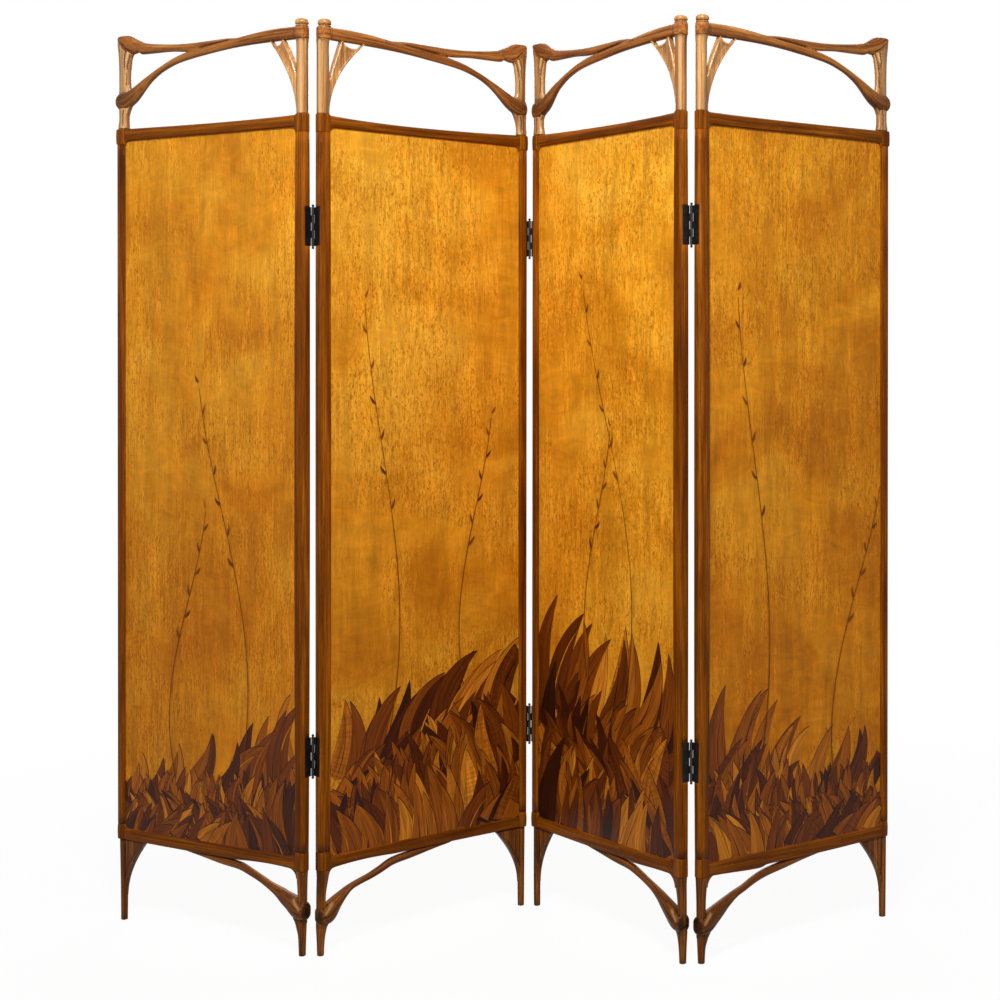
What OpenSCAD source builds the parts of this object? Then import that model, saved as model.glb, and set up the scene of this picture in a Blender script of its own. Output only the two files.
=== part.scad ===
// Folding floor screen of four framed leaves, in millimetres.
// X runs along the screen, Y to the back and Z up. The origin is under the middle of the folded shape.
// Each leaf is drawn in its own frame: x runs from the tall inner post to the outer post, y to the back.
// Leaves 1 and 3 are mirror images of leaves 2 and 4, and three pairs of butt hinges join them.

/* [Leaf] */
// Distance between the axes of the inner and the outer post
leaf_span = 484.5; // [420:0.5:540]
// Height of the top rail's upper seam
rail_top_z = 1642.4; // [1500:0.2:1750]
// Height of the panel's lower visible edge
panel_foot_z = 192.4; // [170:0.2:230]
// Height of the seam between the inner leg and the bottom rail
leg_seam_z = 166; // [140:1:170]

/* [Fold] */
// Angle between leaf 2 and the X axis
leaf_2_turn = 43.1; // [10:0.1:80]
// Fold of leaf 1 against leaf 2, 0 when they are in one plane
fold_12 = 72.3; // [0:0.1:150]
// Fold of leaf 3 against leaf 2
fold_23 = 93.5; // [0:0.1:150]
// Fold of leaf 4 against leaf 3
fold_34 = 89.1; // [0:0.1:150]

/* [Stiles and rails] */
// Width of the inner stile at its ends
inner_stile_w = 23; // [20:0.5:25]
// Depth of the inner stile at its ends
inner_stile_d = 21; // [18:0.5:23]
// How much the inner stile swells at its middle
stile_swell = 3.6; // [0:0.1:4]
// Width of the outer stile
outer_stile_w = 19; // [16:0.5:20]
// Depth of the outer stile
outer_stile_d = 18; // [15:0.5:20]
// Height of both rails
rail_h = 24.4; // [20:0.2:30]
// How far the top rail's upper edge lies below its seam at the inner post
rail_shoulder = 1; // [0:0.1:2]
// How far the middle of the top rail's upper edge dips
rail_dip = 2.4; // [0:0.2:4]
// Depth of both rails
rail_d = 18; // [14:0.5:20]
// Height of a rail's block at the inner post
inner_block_h = 36; // [32:1:44]
// Height of a rail's block at the outer post
outer_block_h = 32; // [30:1:40]
// Width of a rail's block at the outer post
outer_block_w = 23; // [21:0.5:24]
// Radius of the corners of the panel's opening
corner_r = 9; // [5:0.5:10]
// Diameter of the round tenons
tenon_d = 10; // [7:0.5:11]
// Length of the round tenons
tenon_l = 13; // [8:1:14]
// Clearance round a tenon or a post that passes through a knuckle
tenon_gap = 0.1; // [0.05:0.05:0.4]

/* [Panel] */
// Thickness of the veneered panel
panel_t = 6; // [4:0.5:8]
// Depth of the panel's grooves
groove_depth = 4; // [2.5:0.5:4]
// Clearance of the panel in its grooves
panel_gap = 0.15; // [0.05:0.05:0.4]

/* [Crest] */
// Height of the collar's middle above the top rail's seam
crest_rise = 158; // [140:1:170]
// Outer diameter of the collar round the inner post
collar_d = 28.4; // [26:0.2:28.8]
// Height of the collar
collar_h = 24; // [20:0.5:26]
// Diameter of the inner post's neck inside the collar
neck_d = 19; // [16:0.5:20]
// Diameter of the inner post
inner_post_d = 21.6; // [20:0.2:22]
// Diameter of the finial button
finial_d = 27.4; // [24:0.2:28]
// Height of the finial button
finial_h = 16.5; // [12:0.5:20]
// Half width of the crest knuckle round the outer post
crest_knuckle_r = 12.3; // [11.5:0.1:12.4]
// How far the knuckle reaches past the outer post's axis at the screen's two free ends
free_knuckle_reach = 16; // [12.4:0.2:20]
// Height of the crest knuckle's middle above the top rail's seam
crest_knuckle_rise = 59.6; // [50:0.2:66]
// Height over which the inner post eases from the stile's section to its own
post_ease_h = 40; // [20:1:80]
// Height of the inner post's flare under the collar
post_flare_h = 30; // [16:1:60]
// Distance from the outer post's axis at which the crest's branch turns into the corner
branch_turn = 30; // [20:1:40]
// Width of the outer post above the top rail
outer_post_w = 18; // [14:0.5:19]
// Depth of the outer post above the top rail
outer_post_d = 16.5; // [13:0.5:18]
// How far the outer post stands inwards of the outer stile's axis
outer_post_shift = 2.5; // [0:0.5:4]
// Height of the crest's outer corner above the top rail's seam
corner_rise = 197; // [186:1:204]
// Height of the crest's bow at the collar, from its middle to its edge
bow_half = 11.5; // [9:0.5:12]
// Height of the bow's middle above the collar's middle
bow_rise = 2; // [0:0.5:4]
// How much lower each bow hangs at its middle, from leaf 1 to leaf 4
bow_hang = [0, 1.5, 1.5, 0]; // [0:0.5:4]
// Height of the crest's knuckle, from its middle to its edge
crest_knuckle_half = 16; // [13:0.5:18]
// Height of the crest's corner, from its middle to its edge
corner_half = 13; // [10:0.5:14]
// Width at the top of the bracket on leaves 1 and 4
narrow_bracket_w = 29; // [24:1:40]
// Distance of that bracket's far tip from the post's axis
narrow_bracket_reach = 77; // [70:1:90]
// Width at the top of the bracket on leaves 2 and 3
wide_bracket_w = 52; // [40:1:60]
// Distance of that bracket's far tip from the post's axis
wide_bracket_reach = 92; // [80:1:110]
// Depth of the brackets, front to back
bracket_d = 15; // [10:0.5:18]
// Depth of the scoop in the top of the brackets on leaves 1 and 4
narrow_scoop_depth = 8; // [6:0.5:9]
// Depth of the scoop in the top of the brackets on leaves 2 and 3
wide_scoop_depth = 10; // [6:0.5:12]

/* [Legs] */
// Width of the inner leg above the brace
inner_leg_w = 16.6; // [14:0.2:18]
// Depth of the inner leg above the brace
inner_leg_d = 15.6; // [13:0.2:17]
// Width of each leg's foot
foot_w = 12.5; // [10:0.5:14]
// Width of the outer leg at its top
outer_leg_w = 14.5; // [13:0.5:18]
// Length of the outer leg's ear along the rail
ear_l = 57; // [45:1:70]
// Height of the outer leg's ear
ear_h = 116; // [90:1:130]
// Thickness of the ear
ear_t = 10; // [7:0.5:12]
// Half width of the brace's knuckle round the inner leg
leg_knuckle_r = 14.4; // [13:0.1:14.5]
// Height of each brace's knuckle on the ridge side, from leaf 1 to leaf 4
leg_knuckle_z = [87, 77, 77, 72]; // [60:1:100]
// Height of the knuckle on the ridge side, from its middle to its edge
leg_knuckle_half = 17; // [14:0.5:20]
// How far each inner leg stands towards the ridge, off the inner stile's axis
inner_leg_shift = [0, 2.5, 2.5, 1]; // [0:0.5:3]
// How much lower each brace hangs at its middle
brace_hang = [0, 0, 0, 7]; // [0:1:8]
// How much slimmer each brace is above its knuckle
brace_slim = [0, 5, 0, 0]; // [0:0.5:5]

/* [Hinges] */
// Length of a butt hinge
hinge_l = 76; // [60:1:100]
// Height of the lower hinges' middle
low_hinge_z = 387.5; // [300:0.5:500]
// Height of the upper hinges' middle
high_hinge_z = 1422.5; // [1300:0.5:1500]
// Diameter of the hinge barrel
barrel_d = 6.2; // [5.8:0.1:6.6]
// Diameter of the hinge pin
pin_d = 3.2; // [2.4:0.1:3.6]
// Radial clearance of the pin in its knuckles
pin_gap = 0.05; // [0.02:0.01:0.08]
// How far a hinge plate is let into its stile, past the barrel's tangent
plate_let_in = 0.6; // [0.2:0.1:1]
// Distance from the pin's axis to a hinge plate's far edge
plate_reach = 20; // [16:0.5:21]
// Gap between two knuckles
knuckle_gap = 0.35; // [0.2:0.05:0.6]
// Thickness of a hinge plate
plate_t = 2; // [1.6:0.1:2.1]
// Diameter of the pin's ball tip
ball_d = 5.4; // [4.4:0.1:6]
// Diameter of the wood screws
screw_d = 3.4; // [2.6:0.1:4]
// Diameter of a screw's head
screw_head_d = 6.6; // [5.4:0.2:7.2]
// Length of the wood screws
screw_l = 14; // [10:1:16]
// Distance of a ridge pin from the inner post's axis, along the leaf
ridge_pin_x = 14.8; // [14.6:0.1:16]
// Distance of a ridge pin behind the leaf's middle
ridge_pin_y = 14.6; // [14.5:0.1:16]
// Distance of a valley pin from the outer post's axis, along the leaf
valley_pin_x = 12.6; // [12.5:0.1:14]
// Distance of a valley pin in front of the leaf's middle
valley_pin_y = 12.5; // [12.4:0.1:14]

/* [Hidden] */
NODES = [
    for (k = [1:4]) each [
        str("leaf_", k, "_panel"), str("leaf_", k, "_top_rail"), str("leaf_", k, "_bottom_rail"),
        str("leaf_", k, "_inner_stile"), str("leaf_", k, "_outer_stile"), str("leaf_", k, "_inner_post"),
        str("leaf_", k, "_finial"), str("leaf_", k, "_outer_post"), str("leaf_", k, "_crest_rail"),
        str("leaf_", k, "_inner_leg"), str("leaf_", k, "_outer_leg"), str("leaf_", k, "_leg_brace"),
        str("leaf_", k, "_hinge_plates"), str("leaf_", k, "_hinge_screws")
    ],
    "hinge_12_pins", "hinge_23_pins", "hinge_34_pins"
];
node = "all";
$fn = 48;

// Sides of a carved piece's cross-section
sides = 16;
// How far a cut reaches past the face that it opens
past = 1;

// Heights that several pieces share
crest_z = rail_top_z + crest_rise;
crest_knuckle_z = rail_top_z + crest_knuckle_rise;
collar_foot_z = crest_z - collar_h / 2;
collar_top_z = crest_z + collar_h / 2;
top_block_foot_z = rail_top_z - inner_block_h;
top_rail_foot_z = rail_top_z - rail_shoulder - rail_h;
top_outer_foot_z = rail_top_z - outer_block_h;
low_block_top_z = leg_seam_z + inner_block_h;
rail_under_z = panel_foot_z - rail_h;
low_outer_top_z = rail_under_z + outer_block_h;
// Depth of a rail's block at the outer post, and the radii of the blocks' corners
outer_block_d = outer_stile_d + 1.5;
inner_block_r = 6;
outer_block_r = 5;

// The three hinge pins' places: the chain of leaves starts at the valley pin between leaves 2 and 3
turn_1 = fold_12 - leaf_2_turn;
turn_2 = leaf_2_turn;
turn_3 = fold_23 - leaf_2_turn;
turn_4 = fold_34 - turn_3;
turns = [turn_1, turn_2, turn_3, turn_4];
// A leaf's own x axis and its back direction on the floor; side is -1 where the leaf is mirrored
function side_of(k) = k % 2 == 1 ? -1 : 1;
function along(k) = [side_of(k) * cos(turns[k - 1]), sin(turns[k - 1])];
function back(k) = [-side_of(k) * sin(turns[k - 1]), cos(turns[k - 1])];
function ridge_arm(k) = -ridge_pin_x * along(k) + ridge_pin_y * back(k);
function valley_arm(k) = (leaf_span + valley_pin_x) * along(k) - valley_pin_y * back(k);
post_2 = -valley_arm(2);
post_3 = -valley_arm(3);
post_1 = post_2 + ridge_arm(2) - ridge_arm(1);
post_4 = post_3 + ridge_arm(3) - ridge_arm(4);
// The middle of the floor that the screen covers, between the outer blocks' and the collars' edges
end_reach = 0.65 * outer_block_w;
left_x = (post_1 + leaf_span * along(1))[0] - end_reach;
right_x = (post_4 + leaf_span * along(4))[0] + end_reach;
front_y = min(post_3[1], post_4[1]) - collar_d / 2;
back_y = (post_2 + leaf_span * along(2))[1] + end_reach;
middle = [(left_x + right_x) / 2, (front_y + back_y) / 2];
posts = [post_1 - middle, post_2 - middle, post_3 - middle, post_4 - middle];

// Place a leaf's pieces, drawn in the leaf's own frame
module on_leaf(k) {
    translate([posts[k - 1][0], posts[k - 1][1], 0])
        rotate([0, 0, side_of(k) * turns[k - 1]])
            scale_side(side_of(k))
                children();
}

module scale_side(side) {
    if (side < 0) mirror([1, 0, 0]) children();
    else children();
}

// Raise a number's size to a power and keep its sign
function signed_pow(v, e) = sign(v) * pow(abs(v), e);
// Cross-section of a carved piece: squareness 1 is an ellipse and smaller values are boxier
function section(h, t, e) = [
    for (i = [0:sides - 1]) let (q = 360 * i / sides) [h * signed_pow(cos(q), e), t * signed_pow(sin(q), e)]
];
// One row between rows b and c of a smooth curve through a, b, c and d
function blend_row(a, b, c, d, f) =
    0.5 * (2 * b + (c - a) * f + (2 * a - 5 * b + 4 * c - d) * f * f + (3 * b - a - 3 * c + d) * f * f * f);
// A smooth curve through rows of [x, z, half height, half depth]
function smooth(rows, steps) = [
    for (i = [0:len(rows) - 2], j = [0:steps - 1])
        blend_row(rows[max(i - 1, 0)], rows[i], rows[i + 1], rows[min(i + 2, len(rows) - 1)], j / steps),
    rows[len(rows) - 1]
];
// Direction of a row's path, as an angle above the x axis
function path_turn(rows, i) =
    let (a = rows[max(i - 1, 0)], b = rows[min(i + 1, len(rows) - 1)]) atan2(b[1] - a[1], b[0] - a[0]);
// One ring of points round a row, square to the path
function ring(row, turn, e) = [
    for (p = section(row[2], row[3], e)) [row[0] - sin(turn) * p[0], p[1], row[1] + cos(turn) * p[0]]
];

// A carved piece: a closed skin over rings along the rows, square to the path or all level
module carved(rows, e = 1, steps = 1, level = false) {
    path = smooth(rows, steps);
    last = len(path) - 1;
    points = [for (i = [0:last]) each ring(path[i], level ? 90 : path_turn(path, i), e)];
    faces = [
        [for (j = [0:sides - 1]) sides - 1 - j],
        [for (j = [0:sides - 1]) last * sides + j],
        for (i = [0:last - 1], j = [0:sides - 1])
            let (a = i * sides + j, b = i * sides + (j + 1) % sides)
            each [[a, b, b + sides], [a, b + sides, a + sides]]
    ];
    polyhedron(points, faces, convexity = 8);
}

// Outline of a block or a stile, seen from above, with round corners
module round_rect(w, d, r) {
    square([w - 2 * r, d], center = true);
    square([w, d - 2 * r], center = true);
    for (sx = [-1, 1], sy = [-1, 1])
        translate([sx * (w / 2 - r), sy * (d / 2 - r)]) circle(r);
}

// Upright block with round corners
module block(x, z, w, d, h, r) {
    translate([x, 0, z]) linear_extrude(h) round_rect(w, d, r);
}

// A flat shape in the leaf's plane, given a depth from front to back
module leaf_plate(d) {
    translate([0, d / 2, 0]) rotate([90, 0, 0]) linear_extrude(d) children();
}

// A round tenon upwards, or downwards with a negative length, and the mortise that takes it
module tenon(x, z, l = tenon_l, d = tenon_d) {
    translate([x, 0, l > 0 ? z - past : z + l]) cylinder(d = d, h = abs(l) + past);
}

module mortise(x, z, l = tenon_l, d = tenon_d) {
    translate([x, 0, l > 0 ? z - past : z + l - past]) cylinder(d = d + 2 * tenon_gap, h = abs(l) + 2 * past);
}

// Concave corner between an upright face at x and a level face at z, towards sx and sz
module corner_fillet(x, z, sx, sz, r, d) {
    leaf_plate(d)
        translate([x, z])
            difference() {
                translate([sx > 0 ? 0 : -r, sz > 0 ? 0 : -r]) square(r);
                translate([sx * r, sz * r]) circle(r);
            }
}

// The groove that takes the panel's edges
module panel_groove() {
    panel_body(panel_gap);
}

// The panel's body, grown by a clearance on each side
module panel_body(grow) {
    left = inner_stile_w / 2 - groove_depth + panel_gap - grow;
    right = leaf_span - outer_stile_w / 2 + groove_depth - panel_gap + grow;
    foot = panel_foot_z - groove_depth + panel_gap - grow;
    top = top_rail_foot_z + groove_depth - panel_gap + grow;
    translate([left, -panel_t / 2 - grow, foot]) cube([right - left, panel_t + 2 * grow, top - foot]);
}

module panel() {
    color("goldenrod") panel_body(0);
}

// Upper edge of the top rail at a share f of the way from the inner to the outer post
function top_edge_z(f) = rail_top_z - rail_shoulder * (1 - f) - rail_dip * sin(180 * f);
// Lower edge of the bottom rail, a flat arch near the inner leg
arch_rise = 3;
arch_share = 0.34;
arch_foot = 2.4;
function low_edge_z(f) =
    rail_under_z + (f < arch_share ? arch_rise * sin(180 * f / arch_share) - arch_foot * pow(1 - f / arch_share, 8) : 0);

module top_rail() {
    rows = [
        for (f = [0:0.125:1])
            let (top = top_edge_z(f))
            [f * leaf_span, (top + top_rail_foot_z) / 2, (top - top_rail_foot_z) / 2, rail_d / 2]
    ];
    color("saddlebrown") difference() {
        union() {
            carved(rows, 0.4);
            block(0, top_block_foot_z, inner_stile_w, inner_stile_d, inner_block_h, inner_block_r);
            block(leaf_span, top_outer_foot_z, outer_block_w, outer_block_d, outer_block_h, outer_block_r);
            corner_fillet(inner_stile_w / 2, top_rail_foot_z, 1, -1, corner_r, rail_d - 3);
            corner_fillet(leaf_span - outer_block_w / 2, top_rail_foot_z, -1, -1, corner_r, rail_d - 3);
        }
        panel_groove();
        mortise(0, top_block_foot_z);
        mortise(0, rail_top_z, -tenon_l);
        mortise(leaf_span, top_outer_foot_z);
        mortise(leaf_span, rail_top_z, -tenon_l);
    }
}

module bottom_rail(k) {
    rows = [
        for (f = [0, 0.04, 0.08, 0.13, 0.19, 0.25, 0.3, arch_share, 1])
            let (low = low_edge_z(f))
            [f * leaf_span, (low + panel_foot_z) / 2, (panel_foot_z - low) / 2, rail_d / 2]
    ];
    color("saddlebrown") difference() {
        union() {
            carved(rows, 0.4);
            block(0, leg_seam_z, inner_stile_w, inner_stile_d, inner_block_h, inner_block_r);
            block(leaf_span, rail_under_z, outer_block_w, outer_block_d, outer_block_h, outer_block_r);
            corner_fillet(inner_stile_w / 2, panel_foot_z, 1, 1, corner_r, rail_d - 3);
            corner_fillet(leaf_span - outer_block_w / 2, panel_foot_z, -1, 1, corner_r, rail_d - 3);
            corner_fillet(inner_leg_w / 2 + tenon_gap - inner_leg_shift[k - 1], leg_seam_z + 2, 1, -1,
                leg_fillet_r, rail_d - 3);
        }
        panel_groove();
        mortise(0, leg_seam_z);
        mortise(0, low_block_top_z, -tenon_l);
        mortise(leaf_span, rail_under_z);
        mortise(leaf_span, low_outer_top_z, -tenon_l);
    }
}

// Radius of the corner between the bottom rail and the inner leg
leg_fillet_r = 15;

// Seats of the hinge plates on the inner and the outer stile
ridge_seat_x = -(ridge_pin_x - barrel_d / 2 - plate_let_in);
valley_seat_x = leaf_span + valley_pin_x - barrel_d / 2 - plate_let_in;
hinge_heights = [low_hinge_z, high_hinge_z];

// Everything that a hinge needs in the leaf's frame: pin, side towards the next leaf and seat
function ridge_hinge() = [-ridge_pin_x, ridge_pin_y, -1, ridge_seat_x];
function valley_hinge() = [leaf_span + valley_pin_x, -valley_pin_y, 1, valley_seat_x];
function hinges_of(k) = k == 1 || k == 4 ? [ridge_hinge()] : [ridge_hinge(), valley_hinge()];

// A cut in a stile for a hinge plate, and the pilot holes of its screws
module hinge_gain(h) {
    for (z = hinge_heights) {
        y0 = h[1] > 0 ? h[1] - plate_reach : h[1];
        x0 = h[2] < 0 ? h[3] - plate_t - stile_swell : h[3];
        translate([x0, y0, z - hinge_l / 2]) cube([plate_t + stile_swell, plate_reach, hinge_l]);
        screw_places(h, z) screw_hole();
    }
}

// Where a hinge plate's three screws go, with the screw's own z axis pointing into the stile
screw_share = 0.34;
screw_zigzag = 2.5;
module screw_places(h, z) {
    plate_near = barrel_d / 2 + knuckle_gap;
    mid_y = h[1] - sign(h[1]) * (plate_reach + plate_near) / 2;
    for (i = [-1:1])
        translate([h[3] + h[2] * plate_t, mid_y + (i == 0 ? screw_zigzag : -screw_zigzag), z + i * screw_share * hinge_l])
            rotate([0, -h[2] * 90, 0]) children();
}

screw_gap = 0.05;
head_h = (screw_head_d - screw_d) / 2;
module screw_hole() {
    translate([0, 0, -past]) cylinder(d = screw_d + 2 * screw_gap, h = screw_l + past + screw_gap);
}

module countersink() {
    translate([0, 0, -screw_gap]) cylinder(d1 = screw_head_d + 4 * screw_gap, d2 = screw_d + 2 * screw_gap, h = head_h + screw_gap);
    screw_hole();
}

slot_w = 0.9;
slot_depth = 0.8;
module screw() {
    difference() {
        union() {
            cylinder(d1 = screw_head_d, d2 = screw_d, h = head_h);
            cylinder(d = screw_d, h = screw_l - screw_d / 2);
            translate([0, 0, screw_l - screw_d / 2]) cylinder(d1 = screw_d, d2 = 0.4, h = screw_d / 2);
        }
        translate([-screw_head_d, -slot_w / 2, -past]) cube([2 * screw_head_d, slot_w, past + slot_depth]);
    }
}

// The inner stile swells a little towards its middle
swell_share = 0.8;
swell_pow = 0.7;
module inner_stile() {
    rows = [
        for (f = [0:0.1:1])
            let (swell = stile_swell * pow(sin(180 * f), swell_pow))
            [0, low_block_top_z + f * (top_block_foot_z - low_block_top_z),
                (inner_stile_w + swell) / 2, (inner_stile_d + swell_share * swell) / 2]
    ];
    color("sienna") difference() {
        union() {
            carved(rows, 0.45, level = true);
            tenon(0, low_block_top_z, -tenon_l);
            tenon(0, top_block_foot_z);
        }
        panel_groove();
        hinge_gain(ridge_hinge());
    }
}

module outer_stile(k) {
    color("sienna") difference() {
        union() {
            block(leaf_span, low_outer_top_z, outer_stile_w, outer_stile_d,
                top_outer_foot_z - low_outer_top_z, outer_block_r);
            tenon(leaf_span, low_outer_top_z, -tenon_l);
            tenon(leaf_span, top_outer_foot_z);
        }
        panel_groove();
        if (len(hinges_of(k)) > 1) hinge_gain(valley_hinge());
    }
}

// The bow leaves the collar level and falls to the knuckle; its rows hold a share of the leaf's span,
// a drop, a share of the half height and a half depth
bow_rows = [[0.06, 0, 1, 9], [0.12, 0.4, 0.99, 8.6], [0.21, -0.8, 0.9, 8], [0.31, -4, 0.72, 7.4],
    [0.41, -9, 0.62, 6.8], [0.52, -15.5, 0.57, 6.6], [0.62, -22, 0.57, 6.6], [0.69, -29.5, 0.55, 6.6],
    [0.77, -43, 0.5, 6.8], [0.825, -56, 0.58, 7.2], [0.868, -68.6, 0.78, 8.2]];
// The branch leaves the bow and ends as the crest's corner
branch_rows = [[0.36, 0, 0.2, 5], [0.48, -2.4, 0.46, 6.4], [0.62, -3.4, 0.58, 7], [0.72, -1, 0.66, 7.5],
    [0.825, 1.8, 0.86, 8.2], [0.885, 4.5, 1.04, 8.8]];
bow_z = crest_z + bow_rise;
under_bow_z = bow_z - bow_half;
shoulder_z = crest_knuckle_z - crest_knuckle_half - past;
finial_gap = 0.3;

// Plane between the outer post's top and the crest's corner
mitre_slope = 0.78;
mitre_z = crest_z + 12.7;
post_x = leaf_span - outer_post_shift;
function mitre_at(x) = mitre_z + mitre_slope * (x - post_x);

module crest_rail(k) {
    reach = len(hinges_of(k)) > 1 ? crest_knuckle_r : free_knuckle_reach;
    r = crest_knuckle_r;
    half = crest_knuckle_half;
    kz = crest_knuckle_z;
    corner_z = rail_top_z + corner_rise;
    bow = [
        [4, bow_z, bow_half, 9.5],
        for (b = bow_rows)
            [b[0] * leaf_span, bow_z + b[1] - bow_hang[k - 1] * sin(180 * b[0]), b[2] * bow_half, b[3]],
        [leaf_span - 2.7 * r, kz + 6.4, half, 0.92 * r],
        [leaf_span - r, kz, 1.04 * half, r],
        [leaf_span + r / 3, kz - 1, half, r],
        [leaf_span + reach - 3, kz - 0.6, 0.7 * half, 0.85 * r],
        [leaf_span + reach, kz - 0.4, 0.36 * half, 0.5 * r]
    ];
    branch = [
        for (b = branch_rows) [b[0] * leaf_span, crest_z + b[1], b[2] * bow_half, b[3]],
        [leaf_span - branch_turn, corner_z - 2 * corner_half, corner_half, 9],
        [leaf_span - 12, corner_z - 1.4 * corner_half, corner_half, 9.6],
        [leaf_span + 2, corner_z - 0.85 * corner_half, 0.85 * corner_half, 9.6],
        [leaf_span + 10, corner_z - 0.6 * corner_half, 0.5 * corner_half, 7.5],
        [leaf_span + 13, corner_z - 0.5 * corner_half, 0.15 * corner_half, 3]
    ];
    color("chocolate") difference() {
        union() {
            translate([0, 0, collar_foot_z]) cylinder(d = collar_d, h = collar_h);
            carved(bow, 0.85);
            carved(branch, 0.85);
        }
        translate([0, 0, collar_foot_z - past]) cylinder(d = neck_d + 2 * tenon_gap, h = collar_h + 2 * past);
        translate([0, 0, collar_top_z]) cylinder(d = finial_d + 2 * finial_gap, h = finial_h);
        post_way(tenon_gap);
        mortise(post_x, mitre_z, tenon_l - 2);
    }
}

// The outer post's upper part, grown by a clearance; it ends at the mitre under the crest's corner
module post_way(grow) {
    w = outer_post_w + 2 * grow;
    d = outer_post_d + 2 * grow;
    intersection() {
        block(post_x, shoulder_z, w, d, crest_rise, 3);
        leaf_plate(2 * d) polygon([
            [post_x - w, shoulder_z - past], [post_x + w, shoulder_z - past],
            [post_x + w, mitre_at(post_x + w)], [post_x - w, mitre_at(post_x - w)]
        ]);
    }
}

module outer_post() {
    w = outer_post_w / 2;
    d = outer_post_d / 2;
    waist_z = (rail_top_z + shoulder_z) / 2;
    rows = [
        [leaf_span, rail_top_z, outer_block_w / 2 - 0.5, outer_block_d / 2 - 0.4],
        [leaf_span, rail_top_z + 6, w + 1.1, d + 0.8],
        [post_x, waist_z, w + 0.1, d + 0.2],
        [post_x, shoulder_z - 3, w + 0.3, d + 0.3],
        [post_x, shoulder_z, w + 1, d + 0.8]
    ];
    color("peru") union() {
        carved(rows, 0.5, steps = 2, level = true);
        post_way(0);
        tenon(leaf_span, rail_top_z, -tenon_l);
        tenon(post_x, mitre_z, tenon_l - 3);
    }
}

bracket_foot = 8;
scoop_shift = 2;
// How late each bracket leaves its post, from leaf 1 to leaf 4
bracket_pow = [2, 2, 2.6, 2];
module inner_post(k) {
    r = inner_post_d / 2;
    wide = len(hinges_of(k)) > 1;
    tip = wide ? wide_bracket_reach : narrow_bracket_reach;
    w = wide ? wide_bracket_w : narrow_bracket_w;
    foot_z = rail_top_z + bracket_foot;
    seat_z = under_bow_z - tenon_gap;
    post = [
        [0, rail_top_z, inner_stile_w / 2 - 0.4, inner_stile_d / 2 - 0.4],
        [0, rail_top_z + post_ease_h, r, r - 0.3],
        [0, collar_foot_z - post_flare_h, r - 0.3, r - 0.3],
        [0, collar_foot_z - 12, r, r],
        [0, collar_foot_z, r + 1.4, r + 1.4]
    ];
    bracket = [
        for (f = [0, 0.2, 0.4, 0.55, 0.7, 0.85, 1, 1.06])
            let (
                left = (tip - w) * pow(f, 2.6),
                right = r + 2 + (tip - r - 2) * pow(f, bracket_pow[k - 1])
            )
            [(left + right) / 2, foot_z + f * (seat_z - foot_z), (right - left) / 2, bracket_d / 2 - f]
    ];
    scoop = wide ? wide_scoop_depth : narrow_scoop_depth;
    scoop_r = (w * w / 4 + scoop * scoop) / (2 * scoop);
    color("burlywood") difference() {
        union() {
            carved(post, 0.65, steps = 2, level = true);
            translate([0, 0, collar_foot_z - past]) cylinder(d = neck_d, h = collar_h + past);
            difference() {
                carved(bracket, 0.8, level = true);
                translate([-past, -bracket_d, seat_z]) cube([2 * tip, 2 * bracket_d, 30]);
                translate([tip - w / 2 - scoop_shift, bracket_d, seat_z + scoop_r - scoop])
                    rotate([90, 0, 0]) cylinder(r = scoop_r, h = 2 * bracket_d);
            }
            tenon(0, rail_top_z, -tenon_l);
        }
        mortise(0, collar_top_z, -tenon_l, finial_dowel_d);
    }
}

finial_dowel_d = 8;
module finial() {
    r = finial_d / 2;
    h = finial_h;
    color("burlywood") translate([0, 0, collar_top_z]) union() {
        rotate_extrude() polygon([
            [0, 0], [r - 1.6, 0], [r - 1.2, 0.6], [r - 1.2, 1.8], [r - 2, 2.6], [r - 0.8, 4], [r, 6],
            [r, h - 5.5], [r - 1, h - 3], [r - 3.4, h - 1.1], [r / 2, h - 0.2], [0, h]
        ]);
        tenon(0, 0, -tenon_l + 1, finial_dowel_d);
    }
}

// The leg's upper part passes through the brace's knuckle; a spur on its inner side seats the knuckle
knuckle_seat = 5;
function knuckle_foot_z(k) = leg_knuckle_z[k - 1] - leg_knuckle_half - knuckle_seat;
module inner_leg(k) {
    w = inner_leg_w / 2;
    d = inner_leg_d / 2;
    f = foot_w / 2;
    x = -inner_leg_shift[k - 1];
    top = knuckle_foot_z(k);
    rows = [
        [x, 0, f, f],
        [x, 0.3 * top, f + 0.5, f + 0.4],
        [x + 0.4, 0.6 * top, w - 0.6, d - 0.5],
        [x + 1, 0.8 * top, w + 0.6, d],
        [x + 2, top, w + 2.2, d + 0.4]
    ];
    color("saddlebrown") union() {
        carved(rows, 0.5, steps = 2, level = true);
        carved([[x, top - past, w, d], [x, leg_seam_z, w, d]], 0.5, level = true);
        tenon(0, leg_seam_z);
    }
}

// The brace leaves the bottom rail; its far rows hold a share of the leaf's span, a drop below the rail,
// a half height, a half depth and a share of the hang
brace_far = [[0.62, -0.2, 1.2, 4.5, 0], [0.525, -3.6, 4.4, 6, 0], [0.425, -7.8, 7.6, 6.8, 0.15], [0.33, -11.5, 9.5, 7, 0.5]];
// Its near rows hold a distance from the leg, a drop below the rail, a half height, a half depth and the
// shares of the hang, of the slimming and of the knuckle's own drop
brace_near = [[130, -23, 6.8, 6.6, 0.8, 0, 0], [105, -31.5, 5.8, 6.5, 1, 0.1, 0], [82, -41, 6.9, 7.2, 1, 0.4, 0],
    [60, -53.5, 11, 9, 1, 1, 0.1], [42, -64.5, 15.2, 11.2, 0.7, 1.1, 0.35], [26, -72, 18, 13, 0.4, 0.7, 0.65]];
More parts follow.
